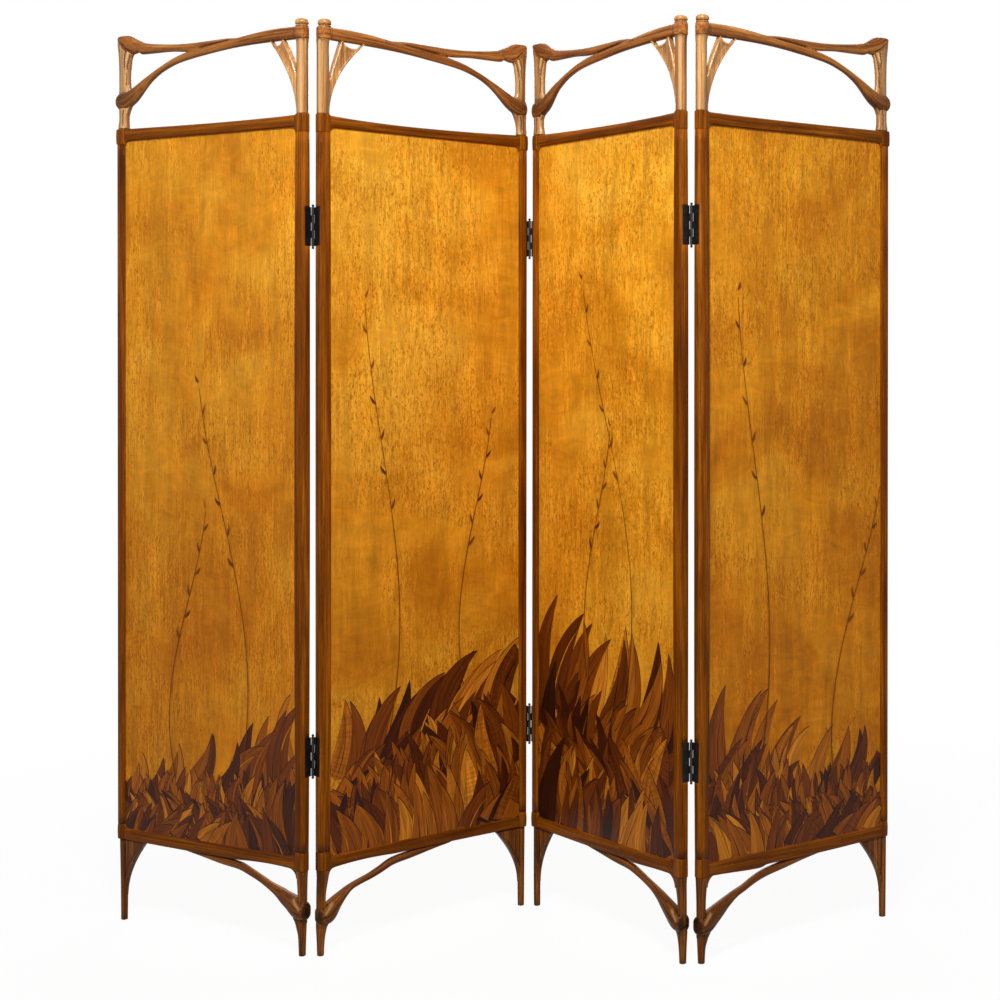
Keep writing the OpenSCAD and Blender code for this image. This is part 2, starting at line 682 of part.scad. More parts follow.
// Height of the knuckle from which the near rows' own drop is measured
level_knuckle_z = 87;
module leg_brace(k) {
    r = leg_knuckle_r;
    half = leg_knuckle_half;
    kz = leg_knuckle_z[k - 1];
    drop = level_knuckle_z - kz;
    slim = brace_slim[k - 1];
    hang = brace_hang[k - 1];
    rows = [
        for (b = brace_far) [b[0] * leaf_span, rail_under_z + b[1] - b[4] * hang, b[2], b[3]],
        for (b = brace_near)
            [b[0], rail_under_z + b[1] - b[4] * hang + 1.3 * b[5] * slim - b[6] * drop, b[2] - b[5] * slim, b[3]],
        [8, kz + 5, 1.12 * half, r],
        [-6, kz + 1.5, half, r],
        [2.4 - r, kz + 0.5, 0.76 * half, 0.88 * r],
        [-r, kz, 0.4 * half, 0.6 * r]
    ];
    foot = knuckle_foot_z(k);
    color("saddlebrown") difference() {
        carved(rows, 0.8);
        translate([0, -rail_d, rail_under_z]) cube([leaf_span, 2 * rail_d, rail_h]);
        block(-inner_leg_shift[k - 1], foot - past, inner_leg_w + 2 * tenon_gap, inner_leg_d + 2 * tenon_gap,
            leg_seam_z - foot, 3);
    }
}

ear_slope = 1.11;
module outer_leg() {
    w = outer_leg_w / 2;
    f = foot_w / 2;
    face = leaf_span - w;
    start = [face - ear_l, rail_under_z];
    bend = [face, rail_under_z - ear_slope * ear_l];
    end = [face, rail_under_z - ear_h];
    rows = [[leaf_span, 0, f, f], [leaf_span, 0.4 * rail_under_z, (w + f) / 2, (w + f) / 2],
        [leaf_span, rail_under_z, w, w]];
    color("saddlebrown") union() {
        carved(rows, 0.5, steps = 3, level = true);
        leaf_plate(ear_t) polygon([
            for (q = [0:0.1:1]) (1 - q) * (1 - q) * start + 2 * q * (1 - q) * bend + q * q * end,
            end + [w / 2, 0],
            [face + w / 2, rail_under_z]
        ]);
        tenon(leaf_span, rail_under_z);
    }
}

// Knuckles of a five-part hinge: even leaves hold the three outer ones, and odd leaves the two between them
knuckle_l = hinge_l / 5;
function knuckles_of(k) = k % 2 == 0 ? [-2, 0, 2] : [-1, 1];

module hinge_plate(k, h, z) {
    side = h[2];
    face = min(h[3], h[3] + side * plate_t);
    towards = sign(h[1]);
    near = barrel_d / 2 + knuckle_gap;
    y0 = towards > 0 ? h[1] - plate_reach : h[1] + near;
    difference() {
        union() {
            translate([face, y0, z - hinge_l / 2]) cube([plate_t, plate_reach - near, hinge_l]);
            for (i = knuckles_of(k)) {
                l = knuckle_l - (abs(i) == 2 ? knuckle_gap / 2 : knuckle_gap);
                z0 = z + i * knuckle_l - knuckle_l / 2 + (i == -2 ? 0 : knuckle_gap / 2);
                translate([h[0], h[1], z0]) cylinder(d = barrel_d, h = l);
                translate([face, towards > 0 ? h[1] - near - past : h[1], z0]) cube([plate_t, near + past, l]);
            }
        }
        translate([h[0], h[1], z - hinge_l]) cylinder(d = pin_d + 2 * pin_gap, h = 2 * hinge_l);
        screw_places(h, z) countersink();
    }
}

module hinge_plates(k) {
    color("dimgray") for (h = hinges_of(k), z = hinge_heights) hinge_plate(k, h, z);
}

module hinge_screws(k) {
    color("gray") for (h = hinges_of(k), z = hinge_heights) screw_places(h, z) screw();
}

// A hinge's pin with a ball tip at each end, drawn in the frame of the even leaf that carries it
module hinge_pins(h) {
    tip = hinge_l / 2 + knuckle_gap + ball_d / 2;
    color("dimgray") for (z = hinge_heights)
        translate([h[0], h[1], z]) union() {
            translate([0, 0, -tip]) cylinder(d = pin_d, h = 2 * tip);
            for (s = [-1, 1]) translate([0, 0, s * tip]) sphere(d = ball_d);
        }
}

function wanted(name) = node == "all" || node == name;
for (k = [1:4]) {
    if (wanted(str("leaf_", k, "_panel"))) on_leaf(k) panel();
    if (wanted(str("leaf_", k, "_top_rail"))) on_leaf(k) top_rail();
    if (wanted(str("leaf_", k, "_bottom_rail"))) on_leaf(k) bottom_rail(k);
    if (wanted(str("leaf_", k, "_inner_stile"))) on_leaf(k) inner_stile();
    if (wanted(str("leaf_", k, "_outer_stile"))) on_leaf(k) outer_stile(k);
    if (wanted(str("leaf_", k, "_inner_post"))) on_leaf(k) inner_post(k);
    if (wanted(str("leaf_", k, "_finial"))) on_leaf(k) finial();
    if (wanted(str("leaf_", k, "_outer_post"))) on_leaf(k) outer_post();
    if (wanted(str("leaf_", k, "_crest_rail"))) on_leaf(k) crest_rail(k);
    if (wanted(str("leaf_", k, "_inner_leg"))) on_leaf(k) inner_leg(k);
    if (wanted(str("leaf_", k, "_outer_leg"))) on_leaf(k) outer_leg();
    if (wanted(str("leaf_", k, "_leg_brace"))) on_leaf(k) leg_brace(k);
    if (wanted(str("leaf_", k, "_hinge_plates"))) on_leaf(k) hinge_plates(k);
    if (wanted(str("leaf_", k, "_hinge_screws"))) on_leaf(k) hinge_screws(k);
}
if (wanted("hinge_12_pins")) on_leaf(2) hinge_pins(ridge_hinge());
if (wanted("hinge_23_pins")) on_leaf(2) hinge_pins(valley_hinge());
if (wanted("hinge_34_pins")) on_leaf(4) hinge_pins(ridge_hinge());
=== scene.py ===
import math
import random

import bmesh
import bpy
import numpy as np
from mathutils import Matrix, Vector


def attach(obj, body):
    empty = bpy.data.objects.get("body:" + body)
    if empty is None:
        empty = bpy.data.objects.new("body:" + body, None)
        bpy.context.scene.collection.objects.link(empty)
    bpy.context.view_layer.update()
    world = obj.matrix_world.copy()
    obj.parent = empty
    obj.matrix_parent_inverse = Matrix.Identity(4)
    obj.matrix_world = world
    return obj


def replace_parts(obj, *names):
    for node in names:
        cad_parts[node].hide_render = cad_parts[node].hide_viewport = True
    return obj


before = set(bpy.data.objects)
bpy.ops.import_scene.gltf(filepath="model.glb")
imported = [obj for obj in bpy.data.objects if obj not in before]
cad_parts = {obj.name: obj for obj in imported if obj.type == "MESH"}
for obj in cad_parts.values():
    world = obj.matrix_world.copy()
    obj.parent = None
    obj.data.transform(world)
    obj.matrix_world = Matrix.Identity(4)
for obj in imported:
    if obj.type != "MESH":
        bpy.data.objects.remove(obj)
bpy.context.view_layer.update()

MM = 0.001

# Sizes in millimetres, the same as the part's own
SPAN = 484.5
RAIL_TOP = 1642.4
PANEL_FOOT = 192.4
LEG_SEAM = 166.0
TURN_2 = 43.1
FOLD_12 = 72.3
FOLD_23 = 93.5
FOLD_34 = 89.1
STILE_W = 23.0
STILE_D = 21.0
SWELL = 3.6
OUTER_W = 19.0
OUTER_D = 18.0
RAIL_H = 24.4
RAIL_D = 18.0
SHOULDER = 1.0
DIP = 2.4
INNER_BLOCK_H = 36.0
OUTER_BLOCK_H = 32.0
OUTER_BLOCK_W = 23.0
CORNER_R = 9.0
PANEL_T = 6.0
CREST = RAIL_TOP + 158.0
COLLAR_D = 28.4
COLLAR_H = 24.0
POST_D = 21.6
FINIAL_D = 27.4
FINIAL_H = 16.5
KNUCKLE_R = 12.3
FREE_REACH = 16.0
CREST_KNUCKLE = RAIL_TOP + 59.6
UPPER_POST_W = 18.0
UPPER_POST_D = 16.5
POST_SHIFT = 2.5
CORNER_RISE = 197.0
BOW_HALF = 11.5
BOW_RISE = 2.0
BOW_HANG = {1: 0.0, 2: 1.5, 3: 1.5, 4: 0.0}
CREST_KNUCKLE_HALF = 16.0
BRACKET_D = 15.0
LEG_W = 16.6
LEG_D = 15.6
FOOT_W = 12.5
OUTER_LEG_W = 14.5
EAR_L = 57.0
EAR_H = 116.0
EAR_T = 10.0
LEG_KNUCKLE_R = 14.4
LEG_KNUCKLE_Z = {1: 87.0, 2: 77.0, 3: 77.0, 4: 72.0}
LEG_KNUCKLE_HALF = 17.0
LEG_SHIFT = {1: 0.0, 2: 2.5, 3: 2.5, 4: 1.0}
BRACE_HANG = {1: 0.0, 2: 0.0, 3: 0.0, 4: 7.0}
BRACE_SLIM = {1: 0.0, 2: 5.0, 3: 0.0, 4: 0.0}
RIDGE_X = 14.8
RIDGE_Y = 14.6
VALLEY_X = 12.6
VALLEY_Y = 12.5
HINGE_L = 76.0
HINGE_HEIGHTS = (387.5, 1422.5)
PLATE_T = 2.0
# Faces of the seats that the hinge plates lie in
RIDGE_SEAT = -11.1
VALLEY_SEAT = SPAN + 8.9

TOP_BLOCK_FOOT = RAIL_TOP - INNER_BLOCK_H
TOP_RAIL_FOOT = RAIL_TOP - SHOULDER - RAIL_H
TOP_OUTER_FOOT = RAIL_TOP - OUTER_BLOCK_H
LOW_BLOCK_TOP = LEG_SEAM + INNER_BLOCK_H
RAIL_UNDER = PANEL_FOOT - RAIL_H
LOW_OUTER_TOP = RAIL_UNDER + OUTER_BLOCK_H
BLOCK_D = OUTER_D + 1.5
COLLAR_FOOT = CREST - COLLAR_H / 2
COLLAR_TOP = CREST + COLLAR_H / 2
LEAVES = (1, 2, 3, 4)
WIDE = (2, 3)

# Each leaf's place on the floor, from the chain of hinge pins
TURNS = {1: FOLD_12 - TURN_2, 2: TURN_2, 3: FOLD_23 - TURN_2, 4: FOLD_34 - FOLD_23 + TURN_2}
SIDE = {k: -1 if k % 2 else 1 for k in LEAVES}


def along(k):
    """Direction of leaf k on the floor, from its ridge stile outwards."""
    a = math.radians(TURNS[k])
    return np.array([SIDE[k] * math.cos(a), math.sin(a)])


def back(k):
    """Direction of leaf k's back on the floor."""
    a = math.radians(TURNS[k])
    return np.array([-SIDE[k] * math.sin(a), math.cos(a)])


def ridge_arm(k):
    """From leaf k's origin to its ridge hinges' pin."""
    return -RIDGE_X * along(k) + RIDGE_Y * back(k)


def valley_arm(k):
    """From leaf k's origin to its valley hinges' pin."""
    return (SPAN + VALLEY_X) * along(k) - VALLEY_Y * back(k)


def leaf_posts():
    """Each leaf's origin on the floor, under the middle of its inner stile."""
    posts = {2: -valley_arm(2), 3: -valley_arm(3)}
    posts[1] = posts[2] + ridge_arm(2) - ridge_arm(1)
    posts[4] = posts[3] + ridge_arm(3) - ridge_arm(4)
    end = 0.65 * OUTER_BLOCK_W
    left = (posts[1] + SPAN * along(1))[0] - end
    right = (posts[4] + SPAN * along(4))[0] + end
    front = min(posts[3][1], posts[4][1]) - COLLAR_D / 2
    rear = (posts[2] + SPAN * along(2))[1] + end
    middle = np.array([(left + right) / 2, (front + rear) / 2])
    return {k: p - middle for k, p in posts.items()}


POSTS = leaf_posts()


def to_world(k, co):
    """Points of leaf k, in its own frame in millimetres, as points of the row frame in metres."""
    co = np.asarray(co, float)
    flat = POSTS[k] + np.outer(co[:, 0], along(k)) + np.outer(co[:, 1], back(k))
    return np.column_stack([flat, co[:, 2]]) * MM


def signed_pow(v, e):
    """A power that keeps the sign."""
    return np.sign(v) * np.abs(v) ** e


def smooth_rows(rows, steps):
    """A smooth curve through rows of [x, z, half height, half depth]."""
    rows = np.array(rows, float)
    out = []
    last = len(rows) - 1
    for i in range(last):
        a, b = rows[max(i - 1, 0)], rows[i]
        c, d = rows[i + 1], rows[min(i + 2, last)]
        for j in range(steps):
            f = j / steps
            out.append(0.5 * (2 * b + (c - a) * f + (2 * a - 5 * b + 4 * c - d) * f * f
                              + (3 * b - a - 3 * c + d) * f ** 3))
    out.append(rows[last])
    return np.array(out)


def ring_faces(rings, sides):
    """Faces of a closed skin over rings of points, with a cap at each end."""
    faces = [[sides - 1 - j for j in range(sides)], [(rings - 1) * sides + j for j in range(sides)]]
    for i in range(rings - 1):
        for j in range(sides):
            a, b = i * sides + j, i * sides + (j + 1) % sides
            faces.append([a, b, b + sides, a + sides])
    return faces


def loft(rows, e=1.0, steps=6, level=False, sides=40, y=None):
    """Closed skin over rounded rings along the rows; y shifts each ring to the back."""
    path = smooth_rows(rows, steps)
    n = len(path)
    shift = np.zeros(n) if y is None else np.interp(np.linspace(0, len(rows) - 1, n), np.arange(len(rows)), y)
    q = np.linspace(0, 2 * math.pi, sides, endpoint=False)
    ch, sh = signed_pow(np.cos(q), e), signed_pow(np.sin(q), e)
    points = []
    for i, (x, z, half, depth) in enumerate(path):
        a, b = path[max(i - 1, 0)], path[min(i + 1, n - 1)]
        turn = math.pi / 2 if level else math.atan2(b[1] - a[1], b[0] - a[0])
        points.append(np.column_stack([x - math.sin(turn) * half * ch, shift[i] + depth * sh,
                                       z + math.cos(turn) * half * ch]))
    return np.vstack(points), ring_faces(n, sides)


def bent(a, b, c, n):
    """A curve of n points from a to c that bends towards b."""
    a, b, c = np.array(a), np.array(b), np.array(c)
    return [tuple((1 - q) ** 2 * a + 2 * q * (1 - q) * b + q * q * c) for q in np.linspace(0, 1, n)]


def prism(outline, y0, y1):
    """Closed solid over an outline of (x, z) points, from y0 to y1."""
    outline = np.array(outline, float)
    n = len(outline)
    points = np.vstack([np.column_stack([outline[:, 0], np.full(n, y), outline[:, 1]]) for y in (y0, y1)])
    faces = [list(range(n)), [2 * n - 1 - j for j in range(n)]]
    faces += [[(j + 1) % n, j, n + j, n + (j + 1) % n] for j in range(n)]
    return points, faces


def lathe(x, profile, sides=64):
    """Turned solid round the upright axis at x, from (radius, z) points that start and end on the axis."""
    q = np.linspace(0, 2 * math.pi, sides, endpoint=False)
    points = []
    for r, z in profile:
        r = max(r, 0.01)
        points.append(np.column_stack([x + r * np.cos(q), r * np.sin(q), np.full(sides, z)]))
    return np.vstack(points), ring_faces(len(profile), sides)


def block(x, z, w, d, h, r, bulge=0.0, edge=1.6):
    """Upright block with round corners and eased ends."""
    squareness = 1 - 0.75 * (1 - 2 * r / (w + d) * 1.3)
    near = ((0, edge), (0.4 * edge, 0.35 * edge), (1.3 * edge, 0))
    levels = near + ((h / 2, -bulge),) + tuple((h - up, less) for up, less in near[::-1])
    rows = [[x, z + up, w / 2 - less, d / 2 - less] for up, less in levels]
    return loft(rows, squareness, 3, True)


def fillet(x, z, sx, sz, r, d):
    """Concave corner between an upright face at x and a level face at z."""
    arc = [(x + sx * r - sx * r * math.sin(q), z + sz * r - sz * r * math.cos(q))
           for q in np.linspace(0, math.pi / 2, 10)]
    outline = [(x - sx * 3, z - sz * 3), (x + sx * r, z - sz * 3)] + arc + [(x - sx * 3, z + sz * r)]
    return prism(outline, -d / 2, d / 2)


def linked(name, data):
    """A new object in the scene."""
    ob = bpy.data.objects.new(name, data)
    bpy.context.scene.collection.objects.link(ob)
    return ob


def skin(name, shells):
    """A mesh of closed shells, each points in millimetres and faces, with all faces turned outwards."""
    points, faces, start = [], [], 0
    for p, f in shells:
        points.append(p)
        faces += [[i + start for i in face] for face in f]
        start += len(p)
    mesh = bpy.data.meshes.new(name)
    mesh.from_pydata((np.vstack(points) * MM).tolist(), [], faces)
    mesh.update()
    bm = bmesh.new()
    bm.from_mesh(mesh)
    bmesh.ops.recalc_face_normals(bm, faces=bm.faces)
    bm.to_mesh(mesh)
    bm.free()
    return mesh


def fused(name, shells, voxel, smooth):
    """One carved skin over overlapping shells."""
    ob = linked(name, skin(name, shells))
    remesh = ob.modifiers.new("remesh", "REMESH")
    remesh.mode = "VOXEL"
    remesh.voxel_size = voxel * MM
    remesh.adaptivity = 0.0
    soften = ob.modifiers.new("soften", "SMOOTH")
    soften.factor = 0.5
    soften.iterations = smooth
    done = bpy.data.meshes.new_from_object(ob.evaluated_get(bpy.context.evaluated_depsgraph_get()))
    bpy.data.objects.remove(ob)
    return done


def coords(mesh):
    """A mesh's points in millimetres."""
    co = np.empty(len(mesh.vertices) * 3)
    mesh.vertices.foreach_get("co", co)
    return co.reshape(-1, 3) / MM


def normals(mesh):
    no = np.empty(len(mesh.vertices) * 3)
    mesh.vertices.foreach_get("normal", no)
    return no.reshape(-1, 3)


def set_coords(mesh, co):
    mesh.vertices.foreach_set("co", (co * MM).ravel())
    mesh.update()


def add_vector(mesh, name, values):
    layer = mesh.attributes.new(name, "FLOAT_VECTOR", "POINT")
    layer.data.foreach_set("vector", np.asarray(values, np.float32).ravel())


# Offsets in the wood, so that members that meet in one piece do not share a figure
BRANCH_GRAIN = 800
BLOCK_GRAIN = 700


def piece(k, shaped, node, mesh, slot, grain="z", path=None):
    """Put a mesh drawn in leaf k's own frame in a node's place, with wood grain that runs along the piece."""
    co = coords(mesh)
    if path is not None:
        u, v, far = path_place(co, path[0])
        for other in path[1:]:
            u2, v2, far2 = path_place(co, other)
            nearer = far2 < far
            u, v = np.where(nearer, u2 + BRANCH_GRAIN, u), np.where(nearer, v2, v)
        g = np.column_stack([u, v, co[:, 1]])
    elif grain == "x":
        upright = (co[:, 0] < STILE_W / 2) | (co[:, 0] > SPAN - OUTER_BLOCK_W / 2)
        g = np.where(upright[:, None], co[:, [2, 0, 1]] + BLOCK_GRAIN, co[:, [0, 2, 1]])
    else:
        g = co[:, [2, 0, 1]]
    name = f"leaf_{k}_{shaped}"
    shuffle = random.Random(name)
    g = g * MM + np.array([shuffle.uniform(0, 9) for _ in range(3)])
    add_vector(mesh, "grain", g)
    mesh.shade_smooth()
    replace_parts(place(name, k, mesh, WOODS[slot]), f"leaf_{k}_{node}")


def place(name, k, mesh, material):
    """Move a mesh from leaf k's own frame to the leaf's place, and make it a piece that rides on the leaf."""
    mesh.vertices.foreach_set("co", to_world(k, coords(mesh)).ravel())
    if SIDE[k] < 0:
        mesh.flip_normals()
    mesh.update()
    mesh.materials.clear()
    mesh.materials.append(material)
    ob = linked(name, mesh)
    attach(ob, f"leaf_{k}")
    return ob


def nearest(co, path):
    """Each point's nearest place on a path of (x, z) points, how far it is, and how far it is to the left."""
    points = co[:, [0, 2]]
    spot, dist, left = np.zeros(len(co)), np.full(len(co), np.inf), np.zeros(len(co))
    for i, s in enumerate(np.diff(path, axis=0)):
        d = points - path[i]
        square = max(s @ s, 1e-9)
        t = np.clip(d @ s / square, 0, 1)
        far = np.hypot(*(d - t[:, None] * s).T)
        near = far < dist
        dist[near] = far[near]
        spot[near] = i + t[near]
        left[near] = ((s[0] * d[:, 1] - s[1] * d[:, 0]) / math.sqrt(square))[near]
    return spot, dist, left


def path_place(co, path):
    """How far along a path of (x, z) points each point is, how far to its left, and how far from it."""
    path = path[:, :2]
    spot, dist, left = nearest(co, path)
    start = np.concatenate([[0], np.cumsum(np.hypot(*np.diff(path, axis=0).T))])
    return np.interp(spot, np.arange(len(path)), start), left, dist


def groove(mesh, path, width, depth, front, dark=None):
    """Carve a rounded line into the front or the back along (x, z) points, and darken it with painted shade
    or a dark seam, or lighten it with a painted highlight.
    """
    co, no = coords(mesh), normals(mesh)
    spot, dist, _ = nearest(co, np.array(path, float))
    share = spot / (len(path) - 1)
    facing = np.clip(-no[:, 1] if front else no[:, 1], 0, 1)
    taper = np.clip(np.minimum(share, 1 - share) * 6, 0, 1)
    push = np.exp(-(dist / width) ** 2) * facing * taper
    set_coords(mesh, co - no * (depth * push)[:, None])
    # Without a share given, a groove gets painted shade that grows with its depth
    dark = max(0, min(1, depth / 3)) if dark is None else dark
    seams_shade_and_highlight(mesh, push * dark)


def carve(mesh, lines):
    """Carve lines, each its path, width, depth and share of painted shade or dark seam (below nothing, of
    painted highlight), into the front and then into the back.
    """
    for front in (True, False):
        for path, width, depth, *dark in lines:
            groove(mesh, path, width, depth, front, *dark)


def fade(co, start, reach):
    """Share that grows with the height from nothing at start to one after reach."""
    return np.clip((co[:, 2] - start) / reach, 0, 1)


def seams_shade_and_highlight(mesh, share):
    """Darken a piece by a share at each point with painted shade or a dark seam, or paint a highlight on it
    where the share is below nothing.
    """
    layer = mesh.attributes.get("seams_shade_and_highlight") or mesh.attributes.new("seams_shade_and_highlight", "FLOAT", "POINT")
    old = np.empty(len(mesh.vertices), np.float32)
    layer.data.foreach_get("value", old)
    new = np.where(np.abs(share) > np.abs(old), share, old)
    layer.data.foreach_set("value", new.astype(np.float32))


# Materials

def srgb(r, g, b):
    """A colour on the 0 to 255 scale, as the shader wants it."""
    def lin(c):
        c /= 255
        return c / 12.92 if c <= 0.04045 else ((c + 0.055) / 1.055) ** 2.4
    return lin(r), lin(g), lin(b), 1.0


def grey(v):
    return (v, v, v, 1.0)


class Tree:
    """Short calls to add shader nodes and join them."""

    def __init__(self, owner):
        owner.use_nodes = True
        self.nt = owner.node_tree
        self.nt.nodes.clear()

    def add(self, kind, **props):
        n = self.nt.nodes.new(kind)
        for key, value in props.items():
            setattr(n, key, value)
        return n

    def put(self, socket, value):
        if isinstance(value, bpy.types.NodeSocket):
            self.nt.links.new(value, socket)
        else:
            socket.default_value = value

    def node(self, kind, inputs, props=()):
        """A node with values or links put in its inputs; gives its first output."""
        n = self.add(kind, **dict(props))
        for key, value in inputs.items():
            self.put(n.inputs[key], value)
        return n.outputs[0]

    def attribute(self, name, output):
        return self.add("ShaderNodeAttribute", attribute_name=name).outputs[output]

    def scaled(self, vector, scale, rotation=(0, 0, 0), location=(0, 0, 0)):
        return self.node("ShaderNodeMapping", {"Vector": vector, "Scale": scale, "Rotation": rotation,
                                               "Location": location})

    def noise(self, vector, scale, detail, rough, distort=0.0):
        """Noise at one scale, or at a scale for each axis."""
        if isinstance(scale, tuple):
            vector, scale = self.scaled(vector, scale), 1.0
        return self.node("ShaderNodeTexNoise", {"Vector": vector, "Scale": scale, "Detail": detail,
                                                "Roughness": rough, "Distortion": distort})

    def ramp(self, value, stops):
        n = self.add("ShaderNodeValToRGB")
        self.put(n.inputs[0], value)
        el = n.color_ramp.elements
        while len(el) < len(stops):
            el.new(0.5)
        for e, (pos, col) in zip(el, stops):
            e.position = pos
            e.color = col
        return n.outputs[0]

    def levels(self, value, low, high, to_low=0.0, to_high=1.0):
        return self.node("ShaderNodeMapRange", {0: value, 1: low, 2: high, 3: to_low, 4: to_high})

    def math(self, op, a, b):
        return self.node("ShaderNodeMath", {0: a, 1: b}, {"operation": op})

    def blend(self, a, b, share):
        """A share of a and the rest of b."""
        return self.math("ADD", self.math("MULTIPLY", a, share), self.math("MULTIPLY", b, 1 - share))

    def mix(self, kind, fac, a, b):
        n = self.add("ShaderNodeMix", data_type="RGBA", blend_type=kind)
        for i, value in ((0, fac), (6, a), (7, b)):
            self.put(n.inputs[i], value)
        return n.outputs[2]

    def shade(self, colour, value, stops, fac=1.0):
        """Darken and lighten a colour by a value, along (position, grey) stops."""
        return self.mix("MULTIPLY", fac, colour, self.ramp(value, [(pos, grey(v)) for pos, v in stops]))

    def bump(self, height, strength, distance):
        return self.node("ShaderNodeBump", {"Height": height, "Strength": strength, "Distance": distance})

    def white_to_camera(self):
        """One for the rays that show the background, from the camera, gloss and glass, and else nothing."""
        path = self.add("ShaderNodeLightPath").outputs
        return self.math("MAXIMUM", path["Is Camera Ray"],
                         self.math("MAXIMUM", path["Is Glossy Ray"], path["Is Transmission Ray"]))


class Material(Tree):
    """A material with a principled shader."""

    def __init__(self, name):
        self.mat = bpy.data.materials.new(name)
        super().__init__(self.mat)
        self.out = self.add("ShaderNodeOutputMaterial")
        self.bsdf = self.add("ShaderNodeBsdfPrincipled")
        self.put(self.out.inputs[0], self.bsdf.outputs[0])

    def set(self, **sockets):
        """Put values or links in the shader's sockets, whose names take _ for a space."""
        for name, value in sockets.items():
            self.put(self.bsdf.inputs[name.replace("_", " ")], value)


# The pale tone that painted highlights on carved wood go half way towards
PAINTED_HIGHLIGHT = (255, 226, 176)


def wood(name, dark, mid, light, gloss, shine, coat=0.0, figure=1.0):
    """Oiled solid wood whose grain runs along the piece."""
    t = Material(name)
    at = t.attribute("grain", "Vector")
    bands = t.noise(at, (2.4, 60, 60), 5, 0.62, 0.6)
    streaks = t.noise(at, (6, 330, 330), 3, 0.6, 0.3)
    pores = t.noise(at, (60, 1300, 1300), 2, 0.5)
    cloud = t.noise(at, (9, 18, 18), 3, 0.5)
    value = t.math("ADD", t.math("MULTIPLY", bands, 0.6 * figure), t.math("MULTIPLY", streaks, 0.4))
    value = t.levels(value, 0.32, 0.32 + 0.34 * (0.6 * figure + 0.4))
    colour = t.ramp(value, [(0.0, srgb(*dark)), (0.5, srgb(*mid)), (1.0, srgb(*light))])
    pore = t.levels(pores, 0.3, 0.48)
    colour = t.shade(colour, pore, [(0, 0.4), (1, 1.0)], 0.6)
    colour = t.shade(colour, cloud, [(0.3, 0.78), (0.7, 1.12)])
    # Pointiness: painted shade in hollows and creases, and paler edges that are partly wear and partly
    # painted highlight
    edge = t.add("ShaderNodeNewGeometry").outputs["Pointiness"]
    colour = t.shade(colour, edge, [(0.43, 0.36), (0.5, 1.0), (0.58, 1.25)], 0.85)
    # Painted shade and dark seams darken the wood by the attribute's share, and painted highlights lighten it
    # where the share is below nothing
    carved = t.attribute("seams_shade_and_highlight", "Fac")
    colour = t.mix("MIX", t.levels(carved, 0.0, 1.0, 0.0, 0.84), colour, srgb(*[c * 0.36 for c in dark]))
    highlight_colour = srgb(*[(c + top) / 2 for c, top in zip(light, PAINTED_HIGHLIGHT)])
    colour = t.mix("MIX", t.levels(carved, 0.0, -1.0, 0.0, 0.8), colour, highlight_colour)
    relief = t.math("ADD", pore, t.math("MULTIPLY", streaks, 0.5))
    t.set(Base_Color=colour, Roughness=t.levels(streaks, 0.3, 0.7, gloss - 0.06, gloss + 0.1),
          Normal=t.bump(relief, 0.25, 0.0003), Specular_IOR_Level=shine,
          Coat_Weight=coat, Coat_Roughness=0.13)
    return t.mat


def veneer(name, k, tint):
    """Golden figured veneer on a panel's faces: soft clouds, fine upright streaks and small dark flecks."""
    t = Material(name)
    co = t.add("ShaderNodeTexCoord").outputs["Object"]
    turn = -SIDE[k] * math.radians(TURNS[k])
    flat = t.scaled(co, (1, 0.05, 1), (0, 0, turn), (3.1 * k, 0, 1.7 * k))
    cloud = t.noise(flat, (7, 1, 5), 3, 0.55, 0.8)
    curl = t.noise(flat, (20, 1, 30), 4, 0.6, 1.8)
    column = t.noise(flat, (42, 1, 4), 4, 0.62, 0.4)
    patch = t.noise(flat, (6, 1, 6), 2, 0.5, 0.6)
    streak = t.noise(flat, (260, 1, 14), 4, 0.64, 0.5)
    fleck = t.noise(flat, (430, 1, 95), 2.5, 0.66, 0.9)
    squiggle = t.noise(flat, (290, 1, 70), 3, 0.62, 1.4)
    gold = t.ramp(cloud, [(0.32, srgb(206, 126, 18)), (0.5, srgb(226, 148, 30)), (0.7, srgb(238, 168, 48))])
    where = t.levels(t.blend(column, patch, 0.4), 0.43, 0.54, 0.1, 1.0)
    gold = t.mix("MIX", t.math("SUBTRACT", 1.0, where), gold,
                 t.shade(gold, curl, [(0.34, 0.86), (0.5, 1.0), (0.66, 1.15)]))
    gold = t.shade(gold, streak, [(0.3, 0.68), (0.5, 1.0), (0.68, 1.2)], t.levels(where, 0.0, 1.0, 0.35, 1.0))
    gold = t.shade(gold, column, [(0.34, 0.8), (0.64, 1.12)])
    # Pale dashes, dark dashes and then dark dots, where the figure is lively
    for noise, low, high, share, tone in ((squiggle, 0.47, 0.36, 0.36, (250, 192, 70)),
                                          (squiggle, 0.54, 0.6, 0.4, (168, 92, 6)),
                                          (fleck, 0.55, 0.64, 0.62, (146, 74, 4))):
        marks = t.math("MULTIPLY", t.levels(noise, low, high), where)
        gold = t.mix("MIX", t.math("MULTIPLY", marks, share), gold, srgb(*tone))
    # Painted shade: the veneer grows darker towards the panel's foot, where less of the light falls
    height = t.add("ShaderNodeSeparateXYZ")
    t.put(height.inputs[0], co)
    low = t.levels(height.outputs["Z"], 1.55, 0.5)
    gold = t.mix("MULTIPLY", low, gold, (0.86, 0.75, 0.6, 1.0))
    gold = t.mix("MULTIPLY", 1.0, gold, (*tint, 1.0))
    t.set(Base_Color=gold, Roughness=t.levels(fleck, 0.3, 0.7, 0.36, 0.5), Specular_IOR_Level=0.14,
          Normal=t.bump(t.math("SUBTRACT", 1.0, marks), 0.12, 0.00015))
    return t.mat


